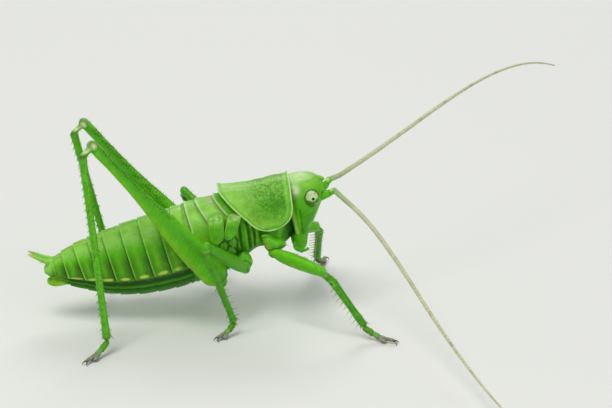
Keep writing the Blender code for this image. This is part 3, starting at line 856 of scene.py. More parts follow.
def plate_tint(body, world, edge, on):
    """Pale, greener in front and on the shoulders, with a yellow patch and a cream margin; painted shade in a
    dark patch on each side lobe and in the pits, furrows and gutter, and painted highlight on the cell
    middles with cream glints.
    """
    x, y, z = np.moveaxis(body, -1, 0)
    pitted = ease(grain(world, 0.30, 6.0), -0.55, 0.10)
    pits = (0.12 + 0.75 * on.rough * pitted) * (1 - ease(on.border, 0.03, 0.40)) * ease(edge, 0.15, 0.35)
    sparkle = on.rough * pitted * ease(on.border, 0.45, 0.8) * ease(z, 2.3, 2.9) * ease(x, 4.9, 5.6)
    yellow = blob(x - 6.15, z - 1.0, (0.55, 0.32))
    return paint(
        body,
        PALE * 1.05,
        (LEAF, 0.55 * ease(x, 4.2, 5.6) * ease(-z, -2.9, -2.3)),
        (LIME, 0.35 * ease(-z, -2.6, -1.2) * (1 - ease(x, 5.0, 5.8))),
        # painted shade on the side lobe
        (DEEP, 0.55 * blob(x - 5.75, z - 2.05, (1.05, 0.70))),
        # painted shade in the pits
        (DEEP * 0.8, pits),
        # painted highlight on the cell middles, and cream glints (sparkle) on the upper front
        (PALE * 1.15, 0.30 * on.rough * ease(on.border, 0.35, 0.75)),
        (CREAM, 0.45 * sparkle),
        (PALE * 1.1, 0.5 * bell(z - 0.82, 0.25) * bell(x - 5.1, 0.9)),
        (YELLOW, 0.75 * yellow * ease(on.border, 0.3, 0.7)),
        (DEEP, 0.5 * yellow * (1 - ease(on.border, 0.0, 0.3))),
        # painted shade in the furrows
        (DEEP, 0.35 * on.furrow + 0.35 * on.front_furrow),
        (PALE * 1.15, 0.55 * bell(edge - 0.33, 0.12)),
        # painted shade in the gutter inside the margin
        (LEAF, 0.55 * on.gutter),
        (CREAM * 1.02, 0.92 * bell(edge - 0.03, 0.062)),
        (CREAM * 0.9, 0.30 * bell(y, 0.28)),
        (CREAM * 0.8, 0.5 * on.keel),
    )


def make_pronotum():
    """The collar plate: a saddle of two skins that meet in a turned-up margin."""
    body, out, edge = bare_plate()
    world = to_world(body)
    on = plate_marks(body, world, edge)
    thick = 0.05 + 0.09 * np.sqrt(ease(edge, -0.02, 0.10))
    outer, inner = body.copy(), body.copy()
    outer[..., 1:] += out * (plate_relief(body, world, edge, on) - 0.02)[..., None]
    inner[..., 1:] -= out * thick[..., None]
    grid = to_world(np.concatenate([outer, inner[:, ::-1]], 1))
    shape = Shape()
    tint = plate_tint(body, world, edge, on)
    shape.loft(grid, np.concatenate([tint, paint(body, LEAF)], 1), flat_ends=True)
    shape.make("collar_plate_shell", SHELL, "pale_green", "pronotum")


# ---------------------------------------------------------------- wing pads


def make_wing_pad(name, side, lean, ribs):
    """A leathery lobe with low ribs and a thin round margin, bent down from the edge of the back."""
    sign, node = SIDES[side], name + "_" + side
    (_, _, bottom), (_, _, top) = body_box(node)
    cuts = body_cuts(node, UP, np.linspace(top - 0.12, bottom + 0.05, 9))
    rows = np.array([(cut[:, 0].min(), cut[:, 0].max(), (sign * cut[:, 1]).max()) for cut in cuts])
    share = np.linspace(0, 1, 90)[:, None]
    rear, front, out = np.moveaxis(spread(rows, share), -1, 0)
    length = top - bottom
    half = (rows[2:6, 1] - rows[2:6, 0]).max() / 2 * (1.04 - 0.16 * share)
    round_tip = np.clip(1 - (np.maximum(half - (1 - share) * length, 0) / half) ** 2.7, 0.002, 1) ** 0.42
    shoulder = np.clip(1 - (np.maximum(0.60 - share * length, 0) / 0.60) ** 2.2, 0.05, 1) ** 0.5
    half = half * round_tip * shoulder
    wide = np.linspace(-1, 1, 56)
    x = (front + rear) / 2 + lean * (0.5 - share) + half * wide
    z = top + 0.10 - (length + 0.04) * share + 0 * x
    edge = np.minimum(half * (1 - np.abs(wide)), (1.0 - share) * length)
    lobes = sum(bell(wide - (rib + turn * (share - 0.5)), 0.09) for rib, turn in ribs)
    dome = 0.20 * np.sqrt(np.clip(1 - wide**2, 0, 1)) * (0.4 + 0.6 * ease(share, 0, 0.4))
    bulge = out - 0.16 + dome + 0.022 * lobes + 0.018 * bell(edge - 0.04, 0.05)
    bulge = bulge - 0.75 * (1 - ease(share, 0.0, 0.30)) ** 1.3 - 0.05 * bell(wide - ribs[0][0] + 0.14, 0.12)
    outer = np.stack([x, sign * bulge, z], -1)
    inner = np.stack([x, sign * (bulge - 0.05 - 0.08 * ease(edge, 0.0, 0.2)), z], -1)
    world = to_world(outer)
    tint = paint(
        outer,
        LEAF * 0.92,
        (PALE, 0.30 * lobes),
        (DEEP, 0.40 * ease(grain(world, 0.35), -0.3, 0.4) * ease(share, 0.2, 0.6)),
        # paler towards the root and a cream band at the hinge: painted highlight where the pad turns out of
        # the body
        (PALE, 0.55 * (1 - ease(share, 0.15, 0.50))),
        (CREAM, 0.6 * bell(share - 0.20, 0.07) * ease(grain(world, 0.22, 4.0), -0.2, 0.3)),
        (PALE * 1.1, 0.75 * bell(edge, 0.06)),
    )
    shape = Shape()
    grid = to_world(np.concatenate([outer, inner[:, ::-1]], 1))
    # the inner face in dark green as painted shade
    shape.loft(grid, np.concatenate([tint, paint(outer, DEEP)], 1), flat_ends=True)
    shape.make(name + "_lobe_" + side, SKIN, "pale_green", node)


# ---------------------------------------------------------------- head


def lobe(shape, line, wide, deep, tint, out=(0, 0, 1), squareness=2.0, sides=22):
    """A closed lobe along a bent body-frame line: deep is its half size along out, wide across it."""
    steps = max(len(line) * 6, 18)
    share = np.linspace(0, 1, steps)
    centre = curve(np.arange(len(line)), line, share * (len(line) - 1))
    cap = rounded(share, 9, 0.004)
    axis = unit(np.gradient(centre, axis=0))
    first = unit(np.cross(axis, np.asarray(out, float)))
    wide, deep = spread(wide, share) * cap, spread(deep, share) * cap
    grid = sweep(centre, sides, first, np.cross(first, axis), wide, deep, squareness)
    shape.loft(to_world(grid), tint(grid, share[:, None]))


def tipped(base, tip, start=0.6, end=0.95):
    """The colours of a lobe that change towards its far end."""
    return lambda grid, share: paint(grid, base, (tip, ease(share, start, end)))


def head_grid():
    """Body-frame points of the bare head, ring by ring from the mouth up to the crown."""
    (_, _, bottom), (_, _, top) = body_box("head")
    keys = bottom + (top - bottom) * np.sin(np.linspace(0.01, 0.495, 15) * np.pi)
    cuts = body_cuts("head", UP, keys)
    rows = np.array([(cut[:, 0].max(), cut[:, 0].min(), np.abs(cut[:, 1]).max()) for cut in cuts])
    z = bottom + (top - 0.05 - bottom) * np.sin(np.linspace(0.0, 0.5, 210) * np.pi)[:, None]
    front, back, half = np.moveaxis(curve(keys, rows, np.clip(z, keys[0], keys[-1])), -1, 0)
    crown = np.minimum(np.sqrt(np.clip((top + 0.05 - z) / 0.35, 0, 1)), 1)
    sole = 0.80 + 0.20 * np.sqrt(np.clip((z - bottom) / 0.32, 0, 1))
    middle = front * 0.45 + back * 0.55
    front = middle + (front - middle) * np.minimum(1, 0.25 + 0.75 * crown) * sole
    half = half * np.minimum(1, 0.15 + 0.85 * crown) * sole
    ahead, aside = oval(around(200), 2.2)
    reach = np.where(ahead > 0, front - middle, middle - back)
    flat_cheek = 1 - 0.10 * ease(-z, -0.9, 0.6) * bell(ahead - 0.75, 0.35)
    return np.stack([middle + reach * ahead, half * aside * flat_cheek, z + 0 * reach], -1)


def head_marks(mirror):
    """Masks of the head, the same on both sides, from body-frame points with the right half mirrored."""
    x, y, z = np.moveaxis(mirror, -1, 0)
    on = SimpleNamespace()
    low, high = (to_body(np.array(corner) / MM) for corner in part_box("eye_left"))
    eye = (low + high) / 2
    on.cheek = y > 0.6
    on.to_eye = np.hypot((x - eye[0]) / 0.50, (z - eye[2]) / 0.60)
    on.band = stroke(mirror * (1, 0, 1), ((6.92, 0, 1.5), (6.92, 0, 0.6), (6.99, 0, -0.6)), 0.11) * on.cheek
    on.groove = stroke(mirror, ((7.34, 1.42, 1.1), (7.32, 1.35, 0.3), (7.32, 1.15, -0.5)), 0.085)
    on.crease = stroke(mirror, ((8.30, 1.4, 1.15), (8.10, 1.3, 0.3), (7.75, 1.1, -0.45)), 0.07)
    seam = ((8.62, 0.0, -0.12), (8.45, 0.6, -0.14), (8.0, 1.0, -0.35), (7.5, 1.1, -0.5))
    on.seam = stroke(mirror, seam, 0.06)
    on.face_line = stroke(mirror, ((8.98, 0.72, 1.25), (8.80, 0.82, 0.6), (8.40, 0.86, -0.05)), 0.07)
    return on


def head_relief(mirror, world, on):
    _, y, z = np.moveaxis(mirror, -1, 0)
    socket = to_body(NETS["scape_left"][0]).mean(0) - (0.45, 0.12, 0.05)
    to_socket = np.linalg.norm(mirror - socket, axis=-1)
    height = 0.035 * bell(on.to_eye - 1.06, 0.10) * on.cheek - 0.09 * bell(on.to_eye, 0.85) * on.cheek
    height += 0.05 * bell(to_socket - 0.40, 0.10) - 0.04 * bell(to_socket, 0.3)
    height += 0.09 * on.band - 0.10 * on.groove - 0.035 * on.crease - 0.05 * on.seam - 0.035 * on.face_line
    height += 0.022 * grain(world, 0.6) + 0.004 * grain(world, 0.1)
    return height - 0.012 * bell(y, 0.03) * ease(z, 1.6, 2.4)


def head_tint(mirror, world, on):
    """Green with a cream crown and a pale cheek band, dark round the eyes; paler towards the top, partly the
    crown's own colour and partly painted highlight; painted shade in the grooves and creases, low on the rear
    of the cheek, under the cheek by the jaws and on the neck.
    """
    x, y, z = np.moveaxis(mirror, -1, 0)
    neck_x = 6.55

    def near(place, size):
        return bell(np.linalg.norm(mirror - place, axis=-1), size)

    # painted shade low on the rear of the cheek
    jowl_shade = ease(-z, -1.5, -0.6) * ease(x, 7.3, 7.6) * ease(y, 0.7, 1.0)
    snout = bell(y, 0.45) * ease(x, 8.0, 8.4) * (1 - ease(z, 1.2, 1.8))
    neck_shade = ease(-x, -neck_x - 0.26, -neck_x - 0.12) * ease(-z, -2.2, -1.2)
    return paint(
        mirror,
        LEAF,
        # paler towards the top: partly the crown's own colour, partly painted highlight
        (PALE, 0.85 * ease(z, 2.2, 2.8)),
        (CREAM * 0.95, 0.8 * ease(z, 2.84, 3.08) * (1 - ease(x, 7.9, 8.6))),
        (CREAM * (1.3, 1.15, 1.5), 1.25 * near((7.22, 1.3, 2.5), 0.36)),
        (DEEP, 0.30 * stroke(mirror, ((7.6, 1.42, 1.2), (7.9, 1.4, 0.2)), 0.35)),
        # painted shade in the creases, the seams and the face line
        (DEEP * 0.8, 0.75 * (on.crease + on.seam) + 0.4 * on.face_line),
        (DEEP, 0.6 * jowl_shade),
        # painted shade in the groove by the cheek band
        (DEEP * 0.45, 0.65 * on.groove * ease(-z, -1.5, -0.9)),
        # painted shade at the head's rear edge, by the collar plate
        (DEEP * 0.5, 0.7 * bell(x - 6.70, 0.12) * ease(-z, -1.6, -0.8)),
        (PALE * (1.7, 1.3, 1.2), 1.4 * on.band * ease(-z, -2.0, -1.2) * ease(z, -0.75, -0.45)),
        # painted shade under the cheek, where it meets the jaws
        (SHADE, 0.85 * near((7.50, 1.1, -0.80), 0.36)),
        (CREAM, 0.8 * near((9.05, 0, 1.80), 0.13)),
        (LIME, 0.30 * snout),
        (SHADE * 0.6, 0.95 * neck_shade),
        (LIME, 0.35 * ease(x, 8.5, 9.0) * ease(z, 0.4, 1.8)),
        (PALE, 0.35 * bell(on.to_eye - 1.15, 0.10) * on.cheek * ease(z, 1.9, 2.3)),
        (SHADE, 0.85 * bell(on.to_eye - 0.93, 0.08) * on.cheek),
        (PALE, 0.25 * ease(grain(world, 0.35, 9.0), 0.15, 0.5)),
    )


def make_head():
    grid = head_grid()
    mirror = np.stack([grid[..., 0], np.abs(grid[..., 1]), grid[..., 2]], -1)
    world = to_world(grid)
    on = head_marks(mirror)
    shape = Shape()
    shape.loft(push(world, head_relief(mirror, world, on) - 0.015), head_tint(mirror, world, on))
    add_fastigium(shape)
    shape.make("head_capsule", SKIN, "leaf_green", "head")


def add_fastigium(shape):
    """The blunt little cone of the crown between the feeler roots."""
    share = np.linspace(0, 1, 26)
    start, end = np.array((7.90, 0, 2.60)), np.array((9.40, 0, 2.42))
    line = start + (end - start) * share[:, None] + (0, 0, 0.10) * np.sin(np.pi * share)[:, None]
    size = rounded(share, 3.2, 0.001)
    wide, tall = (0.21 + 0.32 * (1 - share)) * size, (0.17 + 0.20 * (1 - share)) * size
    grid = sweep(line, 28, LEFT, RISE + (0.35, 0, 0), wide, tall)
    # paler on its upper half: partly the crown's own colour, partly painted highlight
    shape.loft(to_world(grid), paint(grid, LEAF, (PALE, 0.8 * ease(np.sin(around(28)), 0.0, 0.9)[None])))


def make_eye(side):
    """A compound eye: cream and mottled above, green below, with a small dark pupil; the darker lower part is
    partly the eye's own colour and partly painted shade, and a dark rim along its lower rear edge is painted
    shade.
    """
    low, high = body_box("eye_" + side)
    centre, radii = (low + high) / 2, (high - low) / 2 + 0.005
    latitude = np.linspace(-0.499, 0.499, 120)[:, None] * np.pi
    longitude = around(150)
    x, z = np.cos(latitude) * np.cos(longitude), np.cos(latitude) * np.sin(longitude)
    y = SIDES[side] * np.sin(latitude) + 0 * longitude
    world = to_world(centre + np.stack([x, y, z], -1) * radii)
    above = ease(z + 0.15 * grain(world, 0.3), -0.25, 0.15)
    streaks = ease(grain(world * (1.0, 1.0, 0.45), 0.12), 0.0, 0.35)
    smudge = bell(np.hypot(x + 0.38, z - 0.45), 0.30) * ease(grain(world, 0.09), -0.25, 0.25)
    # rim: painted shade along the lower rear edge of the eye
    rim = bell(np.hypot(x, z) - 0.97, 0.05) * ease(-x - z, -0.5, 0.6)
    pupil = np.hypot((x - 0.16) * radii[0], (z - 0.10) * radii[2])
    tint = paint(
        world,
        DEEP * 0.6,
        (CREAM * 0.95, above),
        (LIME, 0.6 * streaks * (1 - above)),
        (GREY * 0.55, 0.75 * smudge),
        (GREY * 0.7, 0.6 * ease(grain(world, 0.13, 4.0), 0.05, 0.35) * above),
        (SHADE * 0.6, 0.9 * rim),
        (CREAM, 0.8 * bell(pupil - 0.145, 0.035)),
        (BLACK, 1 - ease(pupil, 0.086, 0.112)),
    )
    shape = Shape()
    shape.loft(world, tint)
    shape.make("compound_eye_" + side, EYE, "eye_cream", "eye_" + side)


def make_mouth():
    """Upper lip, face plate, jaws, lower lip and throat, as lobes below the face; the lower lip darkens to
    near-black towards its end and the throat is near-black, both painted shade under the head.
    """
    (rear, _, floor), (front, _, roof) = body_box("jaws")
    lip = ((front - 0.12, 0, roof + 0.25), (front - 0.22, 0, roof - 0.35), (front - 0.52, 0, roof - 0.95))
    clypeus = [(front + 0.52 * rise - 0.11, 0, roof + rise) for rise in (0.60, 0.28, -0.06)]
    shape = Shape()
    lobe(shape, lip, (0.52, 0.55, 0.34), (0.16, 0.15, 0.10), tipped(LEAF, LIME), (1, 0, 0), 2.6, 30)
    plate_tint = tipped(LEAF, LIME, 0.2, 0.9)
    lobe(shape, clypeus, (0.62, 0.66, 0.58), (0.11, 0.14, 0.12), plate_tint, (1, 0, 0), 3.0, 40)
    for sign in SIDES.values():
        jaw = (
            (front - 0.55, sign * 0.78, roof + 0.30),
            (front - 0.62, sign * 0.76, roof - 0.45),
            (front - 0.78, sign * 0.44, roof - 1.05),
            (front - 0.80, sign * 0.16, roof - 1.22),
        )
        maxilla = (
            (rear + 0.42, sign * 0.66, roof + 0.25),
            (rear + 0.40, sign * 0.62, roof - 0.55),
            (rear + 0.52, sign * 0.34, floor + 0.28),
            (rear + 0.66, sign * 0.14, floor + 0.10),
        )
        out = (0, sign, 0)
        dark_blade, dark_tip = tipped(LEAF, BROWN, 0.55, 0.8), tipped(DEEP, BROWN, 0.5, 0.95)
        lobe(shape, jaw, (0.46, 0.44, 0.28, 0.08), (0.26, 0.28, 0.20, 0.06), dark_blade, out)
        lobe(shape, maxilla, (0.36, 0.34, 0.22, 0.08), (0.24, 0.24, 0.18, 0.07), dark_tip, out)
    under = ((rear + 0.16, 0, roof + 0.2), (rear + 0.14, 0, roof - 0.6), (rear + 0.30, 0, floor + 0.30))
    # the lower lip darkening to near-black: painted shade under the head
    lobe(shape, under, (0.60, 0.58, 0.30), (0.14, 0.14, 0.10), tipped(DEEP, SHADE), (1, 0, 0), 2.4)
    throat = ((rear + 0.62, 0, roof + 0.25), (rear + 0.62, 0, roof - 0.9))
    # the throat in near-black: painted shade
    lobe(shape, throat, (0.55, 0.25), (0.50, 0.25), lambda grid, share: SHADE, (1, 0, 0), 2.2, 24)
    shape.make("mouthparts", SKIN, "limb_green", "jaws")


def make_palps(side):
    """A long jaw palp of five joints, the last one club-shaped, and a short lip palp behind it."""
    sign = SIDES[side]
    (rear, _, floor), (front, _, roof) = body_box("palp_" + side)
    line = (
        (rear + 0.25, sign * 0.80, roof - 0.10),
        (rear + 0.08, sign * 1.20, (floor + roof) / 2 + 0.02),
        (rear + 0.30, sign * 1.34, floor + 0.18),
        (rear + 0.80, sign * 1.30, floor + 0.10),
        (front - 0.02, sign * 1.22, floor + 0.20),
    )
    shape = Shape()
    tips = spread(line, np.linspace(0, 1, 6))
    for i, thick in enumerate((0.10, 0.115, 0.105, 0.095, 0.10)):
        a, b = tips[i], tips[i + 1]
        wide = thick * np.array((0.9, 1.0, 1.05) if i < 4 else (0.75, 1.0, 1.15))
        joint = (a - (b - a) * 0.06, (a + b) / 2, b + (b - a) * 0.04)
        lobe(shape, joint, wide, wide, tipped(DEEP * 1.3, LEAF, 0.4, 0.9))
    short = (
        (rear + 0.15, sign * 0.42, floor + 0.30),
        (rear + 0.10, sign * 0.50, floor + 0.02),
        (rear + 0.42, sign * 0.50, floor - 0.12),
    )
    tips = spread(short, np.linspace(0, 1, 4))
    for a, b in zip(tips, tips[1:]):
        wide = (0.08, 0.09, 0.09)
        lobe(shape, (a, (a + b) / 2, b + (b - a) * 0.05), wide, wide, tipped(DEEP, LIME, 0.4, 0.9))
    shape.make("mouth_palps_" + side, SKIN, "limb_green", "palp_" + side)


# ---------------------------------------------------------------- feelers and tail


def walk(nodes, start, heading, step):
    """Follows the middle of bent round solids from their near end to their far end."""
    reach = 0.7
    line = [start]
    heading = unit(heading)
    while True:
        ahead = line[-1] + heading * step
        cut = section(nodes, ahead, heading)
        cut = cut[np.linalg.norm(cut - ahead, axis=1) < reach]
        if len(cut) < 3:
            beyond = section(nodes, ahead + heading * 0.12, heading)
            if len(beyond) == 0 or np.linalg.norm(beyond - ahead, axis=1).min() > reach:
                return np.array(line)
            line.append(ahead)
            continue
        middle = (cut.max(0) + cut.min(0)) / 2
        middle = middle - heading * ((middle - ahead) @ heading)
        heading = unit(0.35 * heading + 0.65 * unit(middle - line[-1]))
        line.append(middle)


def tube(shape, line, radii, tint, sides=14):
    """A round tube along a line, with a colour for each of its rings."""
    axis = unit(np.gradient(line, axis=0))
    side = unit(np.cross(axis, RISE + 0.02 * LEFT))
    grid = sweep(line, sides, side, np.cross(side, axis), radii, radii)
    shape.loft(grid, np.broadcast_to(tint[:, None], grid.shape))
    return grid


def feeler_path(nodes, stalk):
    """The middle line of a feeler's solids, from just inside its root joint to the tip."""
    joint = stalk.end
    points = NETS[nodes[0]][0]
    begin = unit(points[np.linalg.norm(points - joint, axis=1) < 2.2].mean(0) - joint)
    path = walk(nodes, joint + begin * 0.5, begin, 0.3)
    return np.concatenate([[joint - begin * 0.1, joint + begin * 0.2], path])


def make_thread(side, coat, nodes, path):
    """A feeler's thread of some hundred short rings, which thins to its tip."""
    way = travelled(path)
    total = way[-1]
    starts = [0.0]
    while starts[-1] < total:
        starts.append(starts[-1] + 0.14 + 0.22 * ease(starts[-1], 1.0, 14.0))
    starts = np.array(starts[:-1])
    profile = np.array((-0.16, -0.02, 0.05, 0.06, 0.0))  # how one ring swells from its pinched start
    part = np.linspace(0, 1, len(profile), endpoint=False)
    places = (starts[:, None] + (np.append(starts[1:], total) - starts)[:, None] * part).ravel()
    keys = np.unique(np.linspace(0, len(path) - 1, max(8, len(path) // 3)).round().astype(int))
    line = curve(way[keys], path[keys], places)
    radii = curve((0, 0.8, 4, 10, 18, total + 0.1), (0.180, 0.165, 0.148, 0.122, 0.085, 0.045), places)
    radii *= 1 + np.tile(profile, len(starts)) * (0.45 + 0.55 * (1 - ease(places, 0.6, 2.5)))
    radii[-1] *= 0.5
    far = ease(places, 0.4, 3.0)
    seams = np.tile(part < 0.1, len(starts)) * (0.4 + 0.6 * far)
    dark_rings = (np.repeat(np.arange(len(starts)), len(profile)) % 9 == 4) * ease(places, 3.0, 8.0)
    layers = ((FEELER, far), (BROWN * 3.5, 0.45 * seams), (BROWN * 3.5, 0.30 * dark_rings))
    shape = Shape()
    grid = tube(shape, line, radii, paint(line, CREAM * 0.66, *layers), 16)
    shape.make("feeler_thread_" + side, THREAD, "feeler_pink", *nodes)
    lean = unit(line[40] - line[0]) * 0.9
    scatter(coat, grid, 520, (0.02, 0.96), (0.0, 1.0), 0.10, 0.0045, FEELER * 0.6, lean, (0, 1))


def make_root(side, stalk):
    """A feeler's root: a stout joint and a small one, each with a cream painted highlight on top."""
    share = np.linspace(0, 1, 60)
    root = stalk.start - stalk.axis * 0.25
    stem = root + (stalk.end - root + stalk.axis * 0.10) * share[:, None]
    girths = (0.22, 0.25, 0.25, 0.24, 0.19, 0.20, 0.21, 0.16)
    radii = curve((0, 0.10, 0.35, 0.62, 0.74, 0.80, 0.92, 1.0), girths, share)
    lift = across(RISE, stalk.axis)
    grid = sweep(stem, 26, np.cross(stalk.axis, lift), lift, radii, radii)
    # painted highlights on top of the two joints
    top_highlights = 0.9 * bell(share - 0.22, 0.11) + 0.9 * bell(share - 0.84, 0.10)
    upper = ease(np.sin(around(26)), 0.1, 0.8) * top_highlights[:, None]
    pinch = 0.8 * bell(share - 0.70, 0.035)[:, None]
    shape = Shape()
    shape.loft(grid, paint(grid, LEAF * 1.1, (CREAM, upper), (DEEP * 0.6, pinch)))
    shape.make("feeler_root_" + side, SKIN, "limb_green", "scape_" + side)


def make_feeler(side, coat):
    nodes = [f"feeler_{part}_{side}" for part in ("base", "middle", "tip")]
    stalk = measure_limb("scape_" + side, NETS["head"][0].mean(0))
    make_thread(side, coat, nodes, feeler_path(nodes, stalk))
    make_root(side, stalk)


def make_tail(coat):
    """The two tail bristles, and the plate below them with its cleft and pale tip."""
    for side in SIDES:
        node = "cercus_" + side
        points = NETS[node][0]
        x = to_body(points)[:, 0]
        rear, front = points[x < x.min() + 0.12].mean(0), points[x > x.max() - 0.35].mean(0)
        line = walk([node], front, rear - front, 0.09)[1:-3]
        heading, ending = unit(line[2] - line[0]), unit(line[-1] - line[-4])
        start = line[0] - heading * 0.35 - UP * 0.16
        line = np.concatenate([[start], line, line[-1] + ending * np.linspace(0.08, 0.26, 3)[:, None]])
        share = np.linspace(0, 1, 60)
        line = spread(line, share)
        radii = curve((0, 0.15, 0.5, 0.85, 1.0), (0.17, 0.165, 0.125, 0.075, 0.015), share)
        tint = paint(line, PALE * 1.1, (BLUSH * (1.15, 0.9, 0.55), ease(share, 0.62, 0.9)))
        shape = Shape()
        grid = tube(shape, line, radii, tint, 16)
        shape.make("tail_bristle_" + side, SKIN, "leaf_green", node)
        lean = unit(rear - front) * 0.9
        scatter(coat, grid, 110, (0.1, 0.98), (0, 1), 0.16, 0.006, CREAM * 0.6, lean, (0, 1))
    low, high = body_box("tail_plate")
    middle, tall = (low + high) / 2, (high[2] - low[2]) / 2

    def valve_tint(grid, share):
        tip = ease(share, 0.78, 0.98) * ease(middle[2] + 0.15 - grid[..., 2], 0, 0.3)
        return paint(grid, LIME, (YELLOW, 0.6 * ease(grain(grid, 0.3), -0.1, 0.4)), (CREAM, tip))

    shape = Shape()
    for sign in SIDES.values():
        valve = (
            (high[0] + 0.45, sign * 0.20, middle[2] - 0.12),
            (middle[0], sign * 0.20, middle[2] - 0.02),
            (low[0] + 0.30, sign * 0.19, middle[2] + 0.02),
            (low[0] + 0.04, sign * 0.14, middle[2] + 0.10),
        )
        deep = tall * np.array((0.9, 0.92, 0.72, 0.42))
        lobe(shape, valve, (0.24, 0.24, 0.20, 0.12), deep, valve_tint)
    shape.make("tail_valves", SKIN, "leaf_green", "tail_plate")


# ---------------------------------------------------------------- legs

Limb = namedtuple("Limb", "start end axis up side length keys depth width")


def measure_limb(node, near, away=RISE):
    """Ends, directions and half sizes of a straight limb; near is a point by its near end."""
    points = NETS[node][0]
    axis = np.linalg.svd(points - points.mean(0), full_matrices=False)[2][0]
    axis = axis * math.copysign(1, (points.mean(0) - near) @ axis)
    keys = np.linspace(0.14, 0.90, 11)
    for _ in range(3):
        along = points @ axis
        places = along.min() + np.ptp(along) * keys
        cuts = [section([node], axis * place, axis) for place in places]
        centres = np.array([(cut.max(0) + cut.min(0)) / 2 for cut in cuts])
        middle = centres.mean(0)
        axis = unit(np.linalg.svd(centres - middle, full_matrices=False)[2][0])
        axis = axis * math.copysign(1, (centres[-1] - centres[0]) @ axis)
    along = (points - middle) @ axis
    up = across(away, axis)
    side = np.cross(axis, up)
    depth, width = (np.array([np.ptp(cut @ way) for cut in cuts]) / 2 * 1.03 for way in (up, side))
    start, end = middle + axis * along.min(), middle + axis * along.max()
    return Limb(start, end, axis, up, side, np.ptp(along), keys, depth, width)


def limb_grid(limb, rows, columns, squareness, before, after, thick=None, head=None):
    """Rings round a limb with round ends, each ring's share along it, and how far up each column is.

    Before and after lengthen the limb, thick scales its girth along it, and it may bend to start at head.
    """
    share = np.linspace(-before / limb.length, 1 + after / limb.length, rows)
    held = np.clip(share, limb.keys[0], limb.keys[-1])
    girth = thick(share) if thick else 1.0
    depth, width = (curve(limb.keys, half, held) * girth for half in (limb.depth, limb.width))
    for end in (0, -1):
        gap = np.abs(share - share[end]) * limb.length
        rounding = np.sqrt(np.clip(1 - (1 - np.minimum(gap / depth[end], 1)) ** 2, 0.01, 1))
        depth, width = depth * rounding, width * rounding
    centre = limb.start + limb.axis * (share * limb.length)[:, None]
    if head is not None:
        bent = 1 - ease(share * limb.length, -before, 0.75)
        centre = centre + bent[:, None] * (head - centre[0])
    grid = sweep(centre, columns, limb.side, limb.up, width, depth, squareness)
    return grid, share[:, None], np.sin(around(columns))[None]


def spine_rows(shape, limb, turns, span, count, lean, length, radius, tints):
    """Rows of spines along a limb, at turns in degrees from its upper side, leaning along it."""
    for angle in np.radians(turns):
        outward = math.cos(angle) * limb.up + math.sin(angle) * limb.side
        for share in np.linspace(*span, count):
            depth, width = (float(curve(limb.keys, half, share)) for half in (limb.depth, limb.width))
            reach = 0.92 / math.hypot(math.cos(angle) / depth, math.sin(angle) / width)
            root = limb.start + limb.axis * share * limb.length + outward * reach
            heading = outward + limb.axis * lean + random.normal(0, 0.05, 3)
            size = length * random.uniform(0.85, 1.12)
            spike(shape, root, heading, size, radius, *tints, limb.axis * 0.12)


def leg_hairs(coat, grid, limb, count, rows, length, tint, strip, columns=(0.0, 1.0)):
    scatter(coat, grid, count, rows, columns, length, 0.0065, tint, limb.axis * 0.75, strip)


def pad_lobe(shape, line, wide, deep, tints):
    """A small closed lobe along a bent line, in one colour above and another below, never under the floor."""
    share = np.linspace(0, 1, 20)
    centre = spread(line, share)
    cap = rounded(share, 4, 0.01)
    axis = unit(centre[-1] - centre[0])
    first = unit(np.cross(axis, RISE))
    wide, deep = spread(wide, share) * cap, spread(deep, share) * cap
    grid = sweep(centre, 18, first, np.cross(first, axis), wide, deep)
    grid[..., 2] = np.maximum(grid[..., 2], 0.0)
    shape.loft(grid, paint(grid, tints[0], (tints[1], ease(-np.sin(around(18)), 0.0, 0.6)[None])))


